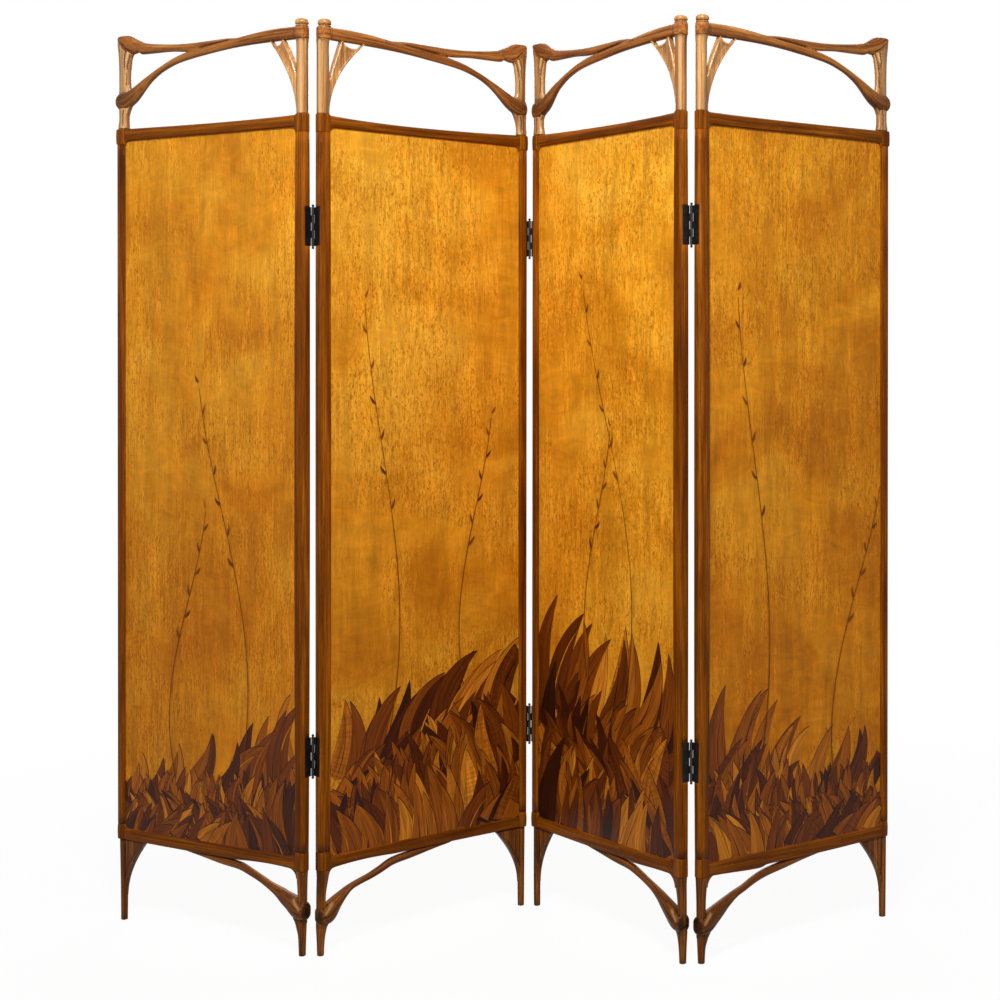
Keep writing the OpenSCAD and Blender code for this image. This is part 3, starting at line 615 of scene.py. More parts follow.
def inlay(name):
    """Inlaid veneers: each leaf-shaped sheet has its own tone and its own grain direction."""
    t = Material(name)
    at = t.attribute("grain", "Vector")
    bands = t.noise(at, (5, 130, 40), 4, 0.62, 0.9)
    streaks = t.noise(at, (16, 560, 40), 3, 0.62, 0.3)
    ribbon = t.noise(at, (230, 16, 40), 2, 0.5, 0.2)
    chosen = t.levels(t.noise(at, (0, 0, 7), 0, 0.5), 0.54, 0.6, 0.0, 0.7)
    colour = t.ramp(t.attribute("tone", "Fac"), [
        (0.0, srgb(36, 12, 4)), (0.25, srgb(74, 28, 4)), (0.5, srgb(116, 54, 8)),
        (0.75, srgb(160, 86, 16)), (1.0, srgb(208, 128, 34))])
    colour = t.shade(colour, t.blend(bands, streaks, 0.65), [(0.36, 0.42), (0.5, 0.95), (0.64, 1.5)])
    colour = t.shade(colour, ribbon, [(0.4, 0.72), (0.6, 1.25)], chosen)
    t.set(Base_Color=colour, Roughness=t.levels(streaks, 0.3, 0.7, 0.34, 0.5), Specular_IOR_Level=0.14,
          Normal=t.bump(streaks, 0.15, 0.0001))
    return t.mat


def black_iron(name):
    """Blackened iron of the hinges, rubbed a little on its edges."""
    t = Material(name)
    co = t.add("ShaderNodeTexCoord").outputs["Object"]
    cast = t.noise(co, 900, 3, 0.6)
    blotch = t.noise(co, 60, 3, 0.5)
    colour = t.ramp(blotch, [(0.35, srgb(20, 18, 18)), (0.6, srgb(34, 31, 31)), (0.75, srgb(52, 46, 42))])
    edge = t.add("ShaderNodeNewGeometry").outputs["Pointiness"]
    colour = t.mix("ADD", t.levels(edge, 0.52, 0.62, 0.0, 0.5), colour, srgb(60, 56, 54))
    t.set(Base_Color=colour, Roughness=t.levels(cast, 0.3, 0.7, 0.32, 0.5), Metallic=0.7,
          Normal=t.bump(cast, 0.1, 0.0002))
    return t.mat


# Each material slot's wood: the frame, the light posts, the carved crests and the legs
WOODS = {
    "walnut": wood("walnut_frame", (64, 27, 2), (124, 62, 5), (176, 102, 20), 0.34, 0.06),
    "light_wood": wood("light_posts", (94, 50, 16), (172, 112, 50), (226, 170, 98), 0.28, 0.34, 0.15, 1.1),
    "brown_wood": wood("carved_crest", (66, 30, 6), (144, 82, 32), (198, 130, 62), 0.3, 0.12, 0.0, 1.1),
    "dark_wood": wood("walnut_legs", (44, 20, 2), (110, 57, 12), (172, 104, 38), 0.28, 0.1, 0.0, 1.1),
}
IRON = black_iron("black_iron")
INLAY = inlay("inlaid_veneers")
# Each leaf's own sheet of veneer is a little paler or deeper than the next
TINT = {1: (0.98, 0.94, 0.72), 2: (0.95, 1.02, 1.1), 3: (1.14, 1.27, 1.4), 4: (0.98, 0.94, 0.72)}
PANEL = {k: veneer(f"golden_veneer_{k}", k, TINT[k]) for k in LEAVES}


# Pieces of a leaf

# How far each leaf's rail edges hang below the plain line, as the photograph shows them
TOP_SAG = {1: 0.4, 2: 4.2, 3: 1.6, 4: -0.6}
LOW_SAG = {1: 0.0, 2: 0.0, 3: 4.4, 4: 6.6}
ARCH_SAG = {1: 1.6, 2: -1.6, 3: 2.4, 4: 4.8}
# Radius of the corner between the rail and each inner leg
LEG_FILLET = {1: 18, 2: 12, 3: 25, 4: 23}


def top_edge(k, f):
    """Height of the top rail's upper edge at a share of the span."""
    return RAIL_TOP - SHOULDER * (1 - f) - (DIP + TOP_SAG[k]) * math.sin(math.pi * f ** 0.8)


def low_edge(k, f):
    """Height of the bottom rail's lower edge at a share of the span."""
    share = 0.34
    low = RAIL_UNDER - ARCH_SAG[k] * math.sin(math.pi * f)
    if f >= share:
        return low
    sag = LOW_SAG[k] * math.sin(math.pi * (1 - f / share) ** 0.6)
    return low + 3 * math.sin(math.pi * f / share) - 2.4 * (1 - f) ** 8 - sag


# How far each leaf's inner stile stands further out to the ridge, at its foot and at its top
RIDGE_OUT = {1: 0.2, 2: 2.8, 3: 2.8, 4: 1.2}
RIDGE_TOP = {1: 2.0, 2: 2.8, 3: 1.2, 4: 2.8}
# How far a stile or leg may reach to the ridge, so that folded leaves do not meet
RIDGE_CLEAR = 14.3
# How far each leaf's outer blocks stand further out, at the top rail and at the bottom rail
OUTER_TOP = {1: 2.4, 2: 1.4, 3: -1.6, 4: 2.0}
OUTER_LOW = {1: -2.0, 2: -2.0, 3: 1.6, 4: -2.6}
# How far each outer stile stands further out, at its top and at its foot
STILE_OUT_TOP = {1: 1.9, 2: 1.2, 3: 0.2, 4: 0.8}
STILE_OUT_LOW = {1: 0.0, 2: 0.2, 3: 2.2, 4: 0.0}


def build_rail(k, name, rows, steps, inner, outer, edge, up, more=()):
    """A rail with its blocks, each given by its foot and outward reach, and the panel's round corners."""
    x0, x1, deep = STILE_W / 2, SPAN - OUTER_BLOCK_W / 2, RAIL_D - 4
    shells = [
        loft(rows, 0.45, steps),
        block(-inner[1] / 2, inner[0], STILE_W + inner[1], STILE_D, INNER_BLOCK_H, 6, 0.0, 0.5),
        block(SPAN + outer[1] / 2, outer[0], OUTER_BLOCK_W + outer[1], BLOCK_D, OUTER_BLOCK_H, 5, 0.5),
        fillet(x0, edge, 1, up, CORNER_R, deep),
        fillet(x1, edge, -1, up, CORNER_R, deep),
        *more,
    ]
    mesh = fused(name, shells, 1.3, 3)
    low, high = (TOP_RAIL_FOOT, RAIL_TOP) if up < 0 else (RAIL_UNDER, PANEL_FOOT)
    carve(mesh, [([(x, low - 3), (x, (low + high) / 2), (x, high + 3)], 0.9, 0.25, 0.35) for x in (x0, x1)])
    piece(k, f"carved_{name}", name, mesh, "walnut", "x")


def build_rails(k):
    """Top rail, and bottom rail with its arch and its corner to the inner leg."""
    rows = []
    for f in np.linspace(0, 1, 9):
        top = top_edge(k, f)
        rows.append([f * SPAN, (top + TOP_RAIL_FOOT) / 2, (top - TOP_RAIL_FOOT) / 2, RAIL_D / 2])
    build_rail(k, "top_rail", rows, 8, (TOP_BLOCK_FOOT, RIDGE_TOP[k]), (TOP_OUTER_FOOT, OUTER_TOP[k]),
               TOP_RAIL_FOOT, -1)
    rows = []
    for f in (0, 0.04, 0.08, 0.13, 0.19, 0.25, 0.3, 0.34, 0.5, 0.75, 1):
        low = low_edge(k, f)
        rows.append([f * SPAN, (low + PANEL_FOOT) / 2, (PANEL_FOOT - low) / 2, RAIL_D / 2])
    corner = fillet(STILE_W / 2 - 2, LEG_SEAM + 2, 1, -1, LEG_FILLET[k], RAIL_D - 3)
    build_rail(k, "bottom_rail", rows, 6, (LEG_SEAM, RIDGE_OUT[k]), (RAIL_UNDER, OUTER_LOW[k]),
               PANEL_FOOT, 1, [corner])


def stile_levels(low, high):
    """Shares of a stile's height for its rings, with close ones at the ends of the hinge seats."""
    ends = np.array([z + side * (HINGE_L / 2 + gap)
                     for z in HINGE_HEIGHTS for side in (-1, 1) for gap in (0.1, 0.5)])
    return np.sort(np.concatenate([np.linspace(0, 1, 60), (ends - low) / (high - low)]))


def cut_seats(mesh, limit, side, lip):
    """Cut flat seats for the hinge plates into a stile's edge; the lip in front stays a little prouder."""
    co = coords(mesh)
    for z in HINGE_HEIGHTS:
        seat = np.abs(co[:, 2] - z) < HINGE_L / 2 + 0.3
        front = co[:, 1] < -5.6
        edge = np.where(front, limit + side * lip, limit)
        cut = np.maximum(co[:, 0], edge) if side < 0 else np.minimum(co[:, 0], edge)
        co[:, 0] = np.where(seat, cut, co[:, 0])
    set_coords(mesh, co)


def build_stiles(k):
    """Inner stile, which swells to its middle, and outer stile, with seats for the hinge plates."""
    rows = []
    for f in stile_levels(LOW_BLOCK_TOP, TOP_BLOCK_FOOT):
        swell = SWELL * math.sin(math.pi * f) ** 0.7
        z = LOW_BLOCK_TOP + f * (TOP_BLOCK_FOOT - LOW_BLOCK_TOP)
        half = (STILE_W + swell) / 2
        out = min(RIDGE_OUT[k] * (1 - f) + RIDGE_TOP[k] * f, RIDGE_CLEAR - half) / 2
        rows.append([-out, z, half + out, (STILE_D + 0.8 * swell) / 2])
    mesh = skin("inner_stile", [loft(rows, 0.58, 1, True)])
    cut_seats(mesh, RIDGE_SEAT, -1, PLATE_T - 0.3)
    piece(k, "shaped_inner_stile", "inner_stile", mesh, "walnut")
    rows = []
    for f in stile_levels(LOW_OUTER_TOP, TOP_OUTER_FOOT):
        out = (STILE_OUT_TOP[k] * f + STILE_OUT_LOW[k] * (1 - f)) / 2
        z = LOW_OUTER_TOP + f * (TOP_OUTER_FOOT - LOW_OUTER_TOP)
        rows.append([SPAN + out, z, OUTER_W / 2 + out, OUTER_D / 2])
    mesh = skin("outer_stile", [loft(rows, 0.5, 1, True)])
    if k in WIDE:
        cut_seats(mesh, VALLEY_SEAT, 1, 0.4)
    piece(k, "shaped_outer_stile", "outer_stile", mesh, "walnut")


# Rows of the crest's bow and branch: share of the span, height over the bow's or crest's level,
# half height as a share of the bow's, and half depth
BOW_ROWS = [[0.06, -1.2, 1.1, 9], [0.12, -1.0, 1.1, 8.6], [0.21, -2.2, 1.02, 8], [0.31, -5.4, 0.86, 7.4],
            [0.41, -9.6, 0.76, 6.8], [0.52, -15.4, 0.74, 6.6], [0.6, -20.4, 0.72, 6.6],
            [0.69, -29.2, 0.6, 6.6], [0.77, -43, 0.5, 6.8], [0.825, -56, 0.58, 7.2],
            [0.868, -68.6, 0.78, 8.2]]
BRANCH_ROWS = [[0.3, -1, 0.3, 5], [0.4, 0.2, 0.46, 6], [0.5, -1.8, 0.58, 6.4], [0.62, -4.0, 0.72, 7],
               [0.72, -1, 0.66, 7.5], [0.825, 1.8, 0.86, 8.2], [0.885, 4.5, 1.04, 8.8]]


def crossing(rows, x0, x1, share):
    """The upper edge of a carved piece between x0 and x1, at a share of its half height."""
    path = smooth_rows(rows, 5)
    return [(x, z + share * half) for x, z, half, _ in path if x0 < x < x1]


# Each leaf's crest differs a little: its bow's hang, its branch's and corner's lift and its knuckle's drop
BOW_EXTRA = {1: 0.0, 2: 1.6, 3: 2.4, 4: 0.0}
BRANCH_LIFT = {1: 0.8, 2: 0.6, 3: 1.0, 4: 2.8}
CORNER_LIFT = {1: 1.6, 2: 1.8, 3: 4.8, 4: 4.0}
# The height that the crest stays under
CREST_LIMIT = RAIL_TOP + 195.9
KNUCKLE_DROP = {1: 0.0, 2: 0.0, 3: 4.5, 4: 0.0}
LIP_DROP = {1: 1.5, 2: 3.5, 3: 4.0, 4: 0.5}


def build_crest(k):
    """Carved crest: collar, bow, knuckle and the branch that ends as the corner."""
    bow_z = CREST + BOW_RISE
    reach = KNUCKLE_R if k in WIDE else FREE_REACH
    r, half, kz = KNUCKLE_R, CREST_KNUCKLE_HALF, CREST_KNUCKLE - KNUCKLE_DROP[k]
    corner = RAIL_TOP + CORNER_RISE
    hang, lift, lip = BOW_HANG[k] + BOW_EXTRA[k], CORNER_LIFT[k], LIP_DROP[k]
    bow = [[4, bow_z - 1, 1.1 * BOW_HALF, 9.5]]
    for f, drop, h, d in BOW_ROWS:
        bow.append([f * SPAN, bow_z + drop - hang * math.sin(math.pi * f), h * BOW_HALF, d])
    bow += [[SPAN - 2.7 * r, kz + 10.0, 0.86 * half, 0.92 * r], [SPAN - 1.5 * r, kz + 2.6, half, 0.98 * r],
            [SPAN - 0.6 * r, kz - 1.6, 1.14 * half, r], [SPAN + r / 3, kz - 2.2, 1.14 * half, r],
            [SPAN + reach - 4.2, kz - 2.0, 0.8 * half, 0.86 * r],
            [SPAN + reach - 1.4, kz - 1.8, 0.42 * half, 0.55 * r]]
    branch = [[f * SPAN, CREST + rise + BRANCH_LIFT[k] * min(1, 2 * f), h * BOW_HALF, d]
              for f, rise, h, d in BRANCH_ROWS]
    top = [(58, 31.6, 9.6, 8.8, 0.2, 0.1), (44, 29.2, 12.6, 9, 0.4, 0.3), (30, 27.9, 16.7, 9.6, 0.8, 0.6),
           (18, 24.6, 18.0, 10.2, 1, 0.9), (7, 18.2, 16.0, 10.2, 1, 0.5), (-3, 13.4, 10.4, 9.4, 1, 0),
           (-9.4, 12.2, 6.2, 7.6, 1, 0), (-12.6, 12.6, 2.4, 3.8, 1, 0)]
    for x, down, h, d, raised, lipped in top:
        branch.append([SPAN - x, corner - down + raised * lift - lipped * lip / 2, h + lipped * lip / 2, d])
    c = COLLAR_D / 2
    collar = [(0, COLLAR_FOOT), (c - 1.6, COLLAR_FOOT), (c - 0.4, COLLAR_FOOT + 1.4), (c, COLLAR_FOOT + 4),
              (c, COLLAR_TOP - 4), (c - 0.4, COLLAR_TOP - 1.4), (c - 1.6, COLLAR_TOP), (0, COLLAR_TOP)]
    behind = [1.8] * 5 + [1.0] + [0.0] * (len(branch) - 6)
    shells = [lathe(0, collar), loft(bow, 0.85, 5), loft(branch, 0.85, 5, y=behind)]
    mesh = fused("crest", shells, 1.1, 2)
    up = corner + lift
    co = coords(mesh)
    over = np.maximum(co[:, 2] - CREST_LIMIT + 5, 0)
    co[:, 2] -= over - 5 * (1 - np.exp(-over / 5))
    set_coords(mesh, co)
    # The bow's flow lines and its edge over the branch, the corner's and knuckle's folds, the collar's seam;
    # the grooves and the bow's edge carry painted shade, the collar's seam a dark line
    carve(mesh, [
        ([(13, bow_z + 1), (60, bow_z - 1), (125, bow_z - 4), (170, bow_z - 8)], 1.6, 1.1, 0.3),
        ([(14, bow_z + 5.5), (45, bow_z + 5), (90, bow_z + 2.5)], 1.2, 0.7, 0.3),
        (crossing(bow, 0.36 * SPAN, 0.58 * SPAN, 0.98), 1.7, 1.9, 0.55),
        ([(SPAN - 36, up - 41 - lip / 2), (SPAN - 24, up - 37 - lip), (SPAN - 14, up - 32 - lip / 2),
          (SPAN - 6, up - 26), (SPAN + 2, up - 19)], 1.7, 1.9, 0.8),
        ([(SPAN - 16, kz + 17), (SPAN - 5, kz + 8), (SPAN + 2, kz - 2), (SPAN + 1, kz - 11)], 1.7, 1.6, 0.75),
        ([(SPAN - 46, kz + 14), (SPAN - 30, kz - 1), (SPAN - 15, kz - 9), (SPAN - 2, kz - 12)],
         2.0, 1.1, 0.7),
        ([(c + 1, COLLAR_FOOT - 4), (c + 1, CREST), (c + 1, COLLAR_TOP + 4)], 1.1, 0.5, 0.6)])
    co = coords(mesh)
    # Darker towards the knuckle, and painted shade under the knuckle's end
    near = np.clip((co[:, 0] - SPAN + 70) / 60, 0, 1) * (co[:, 2] < kz + 45)
    seams_shade_and_highlight(mesh, 0.5 * near)
    seams_shade_and_highlight(mesh, 0.55 * fade(co, kz - 9, -5) * (co[:, 0] > SPAN - 22))
    lines = [np.vstack([[-30, bow_z - 1, 0, 0], smooth_rows(bow, 5)]), smooth_rows(branch, 5)]
    piece(k, "carved_crest", "crest_rail", mesh, "brown_wood", path=lines)


# Each leaf's bracket: its outer and inner horn's places, how its two edges curve, and its scoop's depth
BRACKET = {1: (78, 44, 1.9, 2.2, 11), 2: (92, 37, 2.1, 1.5, 13), 3: (89, 31, 2.2, 1.6, 13),
           4: (82, 40, 2.0, 1.9, 11)}
# How far each finial stands off its post's middle, and its height as a share of the plain one
FINIAL_SHIFT = {1: 0.4, 2: 2.4, 3: 0.0, 4: 0.0}
FINIAL_RISE = {1: 0.97, 2: 0.97, 3: 0.88, 4: 0.94}
# How much slimmer each inner post is on the side of its bracket
POST_SLIM = {1: 0.0, 2: 0.2, 3: 0.0, 4: 1.3}


def paint_post_highlight_and_shade(k, mesh, x, reach):
    """Paint a highlight along a post's face that turns a little to the room's left, and painted shade on its
    two sides.
    """
    co, no = coords(mesh), normals(mesh)
    on_post = np.abs(co[:, 0] - x) < reach
    side = (to_world(k, no) - to_world(k, 0 * no))[:, 0] / MM
    face = np.exp(-((side + 0.22) / 0.3) ** 2)
    right, left = np.clip((side - 0.42) / 0.4, 0, 1), np.clip((-side - 0.8) / 0.2, 0, 1)
    seams_shade_and_highlight(mesh, (0.55 * right + 0.4 * left - 0.5 * face) * on_post)


def build_posts(k):
    """Light post above the inner stile with its bracket, the finial, and the outer post."""
    r = POST_D / 2
    tip, horn, power, inner_power, scoop = BRACKET[k]
    seat = CREST + BOW_RISE - BOW_HALF - 1.4
    foot = RAIL_TOP + 2
    out, slim = RIDGE_TOP[k] / 2, POST_SLIM[k]
    post = [[-out, RAIL_TOP, STILE_W / 2 - 0.2 + out, STILE_D / 2],
            [-out - slim, RAIL_TOP + 40, r + 0.4 + out - slim, r],
            [-out - slim, COLLAR_FOOT - 30, r + 0.3 + out - slim, r],
            [-out - slim, COLLAR_FOOT - 12, r + 0.6 + out - slim, r],
            [-out, COLLAR_FOOT, r + 1.2 + out, r + 1.4]]
    left, right = [], []
    for f in np.linspace(0, 1, 30):
        z = foot + f * (seat - foot)
        left.append((horn * f ** inner_power, z))
        right.append((r - 1 + (tip - r + 1) * f ** (0.94 * power), z))
    x0, x1 = left[-1][0], right[-1][0]
    edges = [np.array(e) for e in (left, right)]
    lip = []
    for q in np.linspace(0.06, 0.92, 22):
        z = seat - scoop * max(1 - ((q - 0.49) / 0.43) ** 2, 0) ** 0.62
        low, high = (np.interp(z, e[:, 1], e[:, 0]) for e in edges)
        lip.append((min(max(x1 + (x0 - x1) * q, low + 3.2), high - 2.9), z))
    outline = left[::-1] + right + lip
    shells = [loft(post, 0.92, 6, True), prism(outline, -BRACKET_D / 2 + 1, BRACKET_D / 2 - 1)]
    mesh = fused("inner_post", shells, 0.95, 1)
    middle = [((a + b) / 2, z) for (a, z), (b, _) in zip(left[14:28], right[14:28])]
    inside = [(x + 3.0, z) for x, z in left[14:]]
    outside = [(x - 3.0, z) for x, z in right[14:]]
    # The scoop and the grooves along the bracket's edges and lip, and down the post, carry painted shade; the
    # rims beside them are raised
    carve(mesh, [(middle, 0.17 * (tip - horn), 2.2, 0.1)]
          + [(edge, 1.5, -1.1) for edge in (outside, inside, [(x, z - 3.4) for x, z in lip])]
          + [(edge, 1.2, 0.8) for edge in (left[12:], right[12:], lip)]
          + [([(6.0, RAIL_TOP + 4), (6.4, RAIL_TOP + 50), (7.4, CREST - 50)], 1.6, 0.8, 0.3)])
    # Painted highlight and painted shade on the post
    paint_post_highlight_and_shade(k, mesh, -out - slim, 14)
    co = coords(mesh)
    # Painted shade where the post goes up under the collar, and darker at its foot where it meets the rail
    seams_shade_and_highlight(mesh, 0.75 * fade(co, COLLAR_FOOT - 7, 7) * (co[:, 0] < 13))
    seams_shade_and_highlight(mesh, 0.7 * fade(co, RAIL_TOP + 3, -3))
    piece(k, "carved_inner_post", "inner_post", mesh, "light_wood")

    h, fr = FINIAL_H, FINIAL_D / 2
    knob = [(0, 0), (fr - 1.0, 0), (fr - 0.7, 0.4), (fr - 0.6, 1.6), (fr - 1.2, 2.4), (fr - 2.4, 3.0),
            (fr - 2.3, 3.8), (fr - 1.0, 4.8), (fr - 0.1, 6.6), (fr, 8.4), (fr - 0.2, h - 6.0),
            (fr - 0.9, h - 4.0), (fr - 2.2, h - 2.4), (fr - 4.2, h - 1.2), (fr - 6.6, h - 0.5),
            (fr / 3, h - 0.1), (0, h)]
    knob = [(near, COLLAR_TOP + FINIAL_RISE[k] * z) for near, z in knob]
    mesh = skin("finial", [lathe(FINIAL_SHIFT[k], knob)])
    rise = coords(mesh)[:, 2] - COLLAR_TOP
    # Painted shade in the knob's neck groove, and darker at its foot on the collar
    seams_shade_and_highlight(mesh, 0.8 * np.exp(-((rise - 3.2) / 1.3) ** 2) + 0.6 * (rise < 0.5))
    piece(k, "turned_finial", "finial", mesh, "light_wood")

    build_outer_post(k)


# How far the outer post's carved strand stands inwards above and below the knuckle
FLARE = {1: 8.8, 2: 3.2, 3: 12.5, 4: 10.0}
FOOT_FLARE = {1: 4.6, 2: 1.4, 3: 10.2, 4: 7.0}
# How far it stands further out above and below the knuckle
POST_OUT = {1: 3.4, 2: 3.2, 3: 2.6, 4: 2.2}
FOOT_OUT = {1: 2.0, 2: 4.2, 3: 2.0, 4: 1.2}


def build_outer_post(k):
    """Light post above the outer stile, with its carved strand and the wing under the knuckle."""
    pw, pd = UPPER_POST_W / 2, UPPER_POST_D / 2
    shoulder = CREST_KNUCKLE - KNUCKLE_DROP[k] - CREST_KNUCKLE_HALF - 1
    px = SPAN - POST_SHIFT
    corner = RAIL_TOP + CORNER_RISE + CORNER_LIFT[k]
    flare, foot = FLARE[k], FOOT_FLARE[k] / 2
    out = FOOT_OUT[k] / 2
    low = [[SPAN - 0.5 - foot, RAIL_TOP, OUTER_BLOCK_W / 2 - 0.5 + foot, BLOCK_D / 2 - 0.4],
           [SPAN - 0.7 - foot + 0.5 * out, RAIL_TOP + 6, pw + 1.2 + foot + 0.5 * out, pd + 0.8],
           [px - 0.7 * foot + out, RAIL_TOP + 18, pw + 0.1 + 0.7 * foot + out, pd + 0.2],
           [px - 0.6 - 0.5 * foot + out, shoulder - 8, pw + 0.8 + 0.5 * foot + out, pd + 0.3],
           [px - 1.4 + out, shoulder + 1, pw + 2.2 + out, pd + 0.4]]
    high = []
    for z, inner, outer, depth in (
            (shoulder - 2, pw + 1, pw, pd), (CREST_KNUCKLE + 16, pw + flare + 3.5, pw, pd - 0.2),
            (CREST_KNUCKLE + 30, pw + flare + 0.6, pw - 0.3, pd - 0.4),
            (CREST_KNUCKLE + 52, pw + flare, pw - 0.3, pd - 0.4),
            (corner - 68, pw + flare + 2.0, pw + 0.2, pd - 0.2),
            (corner - 52, pw + flare + 5.2, pw + 1.2, pd),
            (corner - 40, pw + flare + 9.5, pw + 2.6, pd), (corner - 24, pw - 3, pw + 4.6, pd - 0.6),
            (corner - 12, -pw + 3.5, pw + 5.0, pd - 1.6)):
        outer += POST_OUT[k] * min(1, (corner - z) / 30)
        high.append([px + (outer - inner) / 2, z, (outer + inner) / 2, depth])
    side = px - pw
    curve = bent((side - 21, shoulder + 15), (side - 4, shoulder + 1), (side + 0.6, shoulder - 30), 16)
    wing = prism(curve + [(px, shoulder - 30), (px, shoulder + 15)], -5.4, 5.4)
    mesh = fused("outer_post", [loft(low, 0.8, 6, True), loft(high, 0.84, 6, True), wing], 1.2, 3)
    inner, kz = px - pw - flare, CREST_KNUCKLE
    # Painted highlight and painted shade on the post
    paint_post_highlight_and_shade(k, mesh, px, 30)
    # A painted highlight along the facet; painted shade in the grooves under and over it, in the slit and
    # down the post
    facet = [(inner - 1, corner - 38), (inner + 3.5, corner - 50), (inner + 7, corner - 62)]
    under = [(inner - 6, corner - 41), (inner - 1.5, corner - 53), (inner + 3, corner - 66),
             (inner + 5, corner - 82)]
    upper = [(inner + 1, corner - 30), (inner + 8, corner - 43), (inner + 11, corner - 58),
             (inner + 10, corner - 80)]
    slit = [(inner + 6, corner - 78), (inner + 5.2, corner - 96), (inner + 7, kz + 24)]
    carve(mesh, [
        (under, 1.7, 1.6, 0.9), (upper, 1.5, 1.8, 0.9), (slit, 1.5, 1.6, 0.7), (facet, 1.7, -0.5, -1.0),
        ([(px - 6, shoulder), (px - 2.5, shoulder - 14), (px - 3.5, RAIL_TOP + 3)], 1.8, 2.6),
        ([(px + 3.6, shoulder), (px + 3.2, RAIL_TOP + 3)], 1.5, 1.2)])
    co = coords(mesh)
    # Darker at the foot where it meets the rail, and painted shade where the crest's knuckle wraps round the
    # post
    seams_shade_and_highlight(mesh, 0.7 * fade(co, RAIL_TOP + 3, -3))
    gap = np.abs(co[:, 2] - kz)
    seams_shade_and_highlight(mesh, 0.6 * np.clip((CREST_KNUCKLE_HALF + 3 - gap) / 4, 0, 1))
    piece(k, "carved_outer_post", "outer_post", mesh, "light_wood")


# Rows of the brace from the rail to the knuckle: share of the span (far) or distance from the ridge (near),
# height over the rail's underside, half height, half depth, and the shares of the leaf's hang, slimness
# and drop that count there
BRACE_FAR = [[0.62, -0.2, 1.2, 4.5, 0], [0.525, -3.6, 4.4, 6, 0], [0.425, -7.8, 7.6, 6.8, 0.15],
             [0.33, -12.4, 7.9, 7, 0.5]]
BRACE_NEAR = [[130, -22.8, 7.3, 6.6, 0.8, 0, 0], [105, -31.9, 6.9, 6.6, 1, 0.1, 0],
              [82, -41.6, 7.7, 7.4, 1, 0.4, 0], [60, -53, 10.6, 9, 1, 1, 0.1],
              [42, -62.5, 14.2, 11.2, 0.7, 1.1, 0.35], [26, -70, 17.2, 13, 0.4, 0.7, 0.65]]
# How far each leaf's brace stands above the common line near its knuckle, and below it near the rail
BRACE_LIFT = {1: 2.4, 2: 0.4, 3: 0.6, 4: 0.6}
BRACE_SAG = {1: 0.0, 2: 2.4, 3: 0.6, 4: 1.6}


def open_socket(mesh, k):
    """Lower the knuckle's faces above a sloping rim, so that the leg stands in it as in a socket."""
    co = coords(mesh)
    kz, x = LEG_KNUCKLE_Z[k], co[:, 0] + LEG_SHIFT[k]
    rim = np.where(x > -3, kz + 8.5 + 1.05 * (x + 3), kz + 8.5 - 2.2 * (x + 3))
    above = np.clip((co[:, 2] - rim) / 3.0, 0, 1)
    near = np.clip((20 - np.abs(x)) / 8, 0, 1) * (x > -9.5)
    limit = LEG_D / 2 - 1.6
    share = above * above * (3 - 2 * above) * near
    far = np.maximum(np.abs(co[:, 1]) - limit, 0)
    co[:, 1] -= np.sign(co[:, 1]) * far * share
    set_coords(mesh, co)


def keep_clear(mesh, reach):
    """Flatten a knuckle a little towards the ridge, so that the next leaf's knuckle can come beside it."""
    co = coords(mesh)
    co[:, 0] = np.maximum(co[:, 0], -reach)
    behind = np.clip((co[:, 1] - 5) / 8, 0, 1)
    co[:, 0] = np.maximum(co[:, 0], -reach + 3.2 * behind ** 2)
    set_coords(mesh, co)


def build_brace(k):
    """Carved brace from the bottom rail down to the knuckle round the inner leg."""
    r, half, kz = LEG_KNUCKLE_R, LEG_KNUCKLE_HALF, LEG_KNUCKLE_Z[k]
    drop, slim, hang, sag = LEG_KNUCKLE_Z[1] - kz, BRACE_SLIM[k], BRACE_HANG[k], BRACE_SAG[k]
    rows = [[b[0] * SPAN, RAIL_UNDER + b[1] - b[4] * (hang + 1.6 * sag)
             - 0.8 * ARCH_SAG[k] * math.sin(math.pi * b[0]), b[2], b[3]] for b in BRACE_FAR]
    for b in BRACE_NEAR:
        lift = float(np.interp(b[0], (60, 82, 105, 130), (BRACE_LIFT[k], -0.3 * sag, -sag, -0.8 * sag)))
        rows.append([b[0], RAIL_UNDER + b[1] - b[4] * hang + 1.3 * b[5] * slim - b[6] * drop + lift,
                     b[2] - b[5] * slim, b[3]])
    rows += [[8, kz + 3.5, 1.2 * half, r], [-6, kz + 0.5, 1.08 * half, r],
             [2.4 - r, kz, 0.9 * half, 0.88 * r], [0.2 - r, kz, 0.54 * half, 0.6 * r]]
    mesh = fused("brace", [loft(rows, 0.8, 5)], 1.1, 2)
    open_socket(mesh, k)
    keep_clear(mesh, r)
    # The eye gets a painted highlight, the notch and the crease painted shade
    eye = [(17, kz + 26), (8, kz + 17), (0, kz + 9), (-6, kz + 3)]
    notch = [(34, kz + 43), (24, kz + 38), (14, kz + 32), (6, kz + 24), (0, kz + 16)]
    lip = [(62, kz + 48), (46, kz + 32), (32, kz + 18), (18, kz + 6), (6, kz - 3)]
    crease = [(24, kz - 18), (15, kz - 22), (7, kz - 16), (-1, kz - 7), (-6, kz + 4)]
    carve(mesh, [(lip, 3.0, -0.8, 0), (notch, 1.7, 2.6, 1.0), (eye, 2.6, 0.8, -0.8), (crease, 1.0, 1.0, 0.3)])
    co = coords(mesh)
    # Darker towards the knuckle's end at the ridge
    seams_shade_and_highlight(mesh, 0.9 * np.clip((-8.5 - co[:, 0]) / 3, 0, 1))
    piece(k, "carved_leg_brace", "leg_brace", mesh, "dark_wood", path=[smooth_rows(rows, 5)])


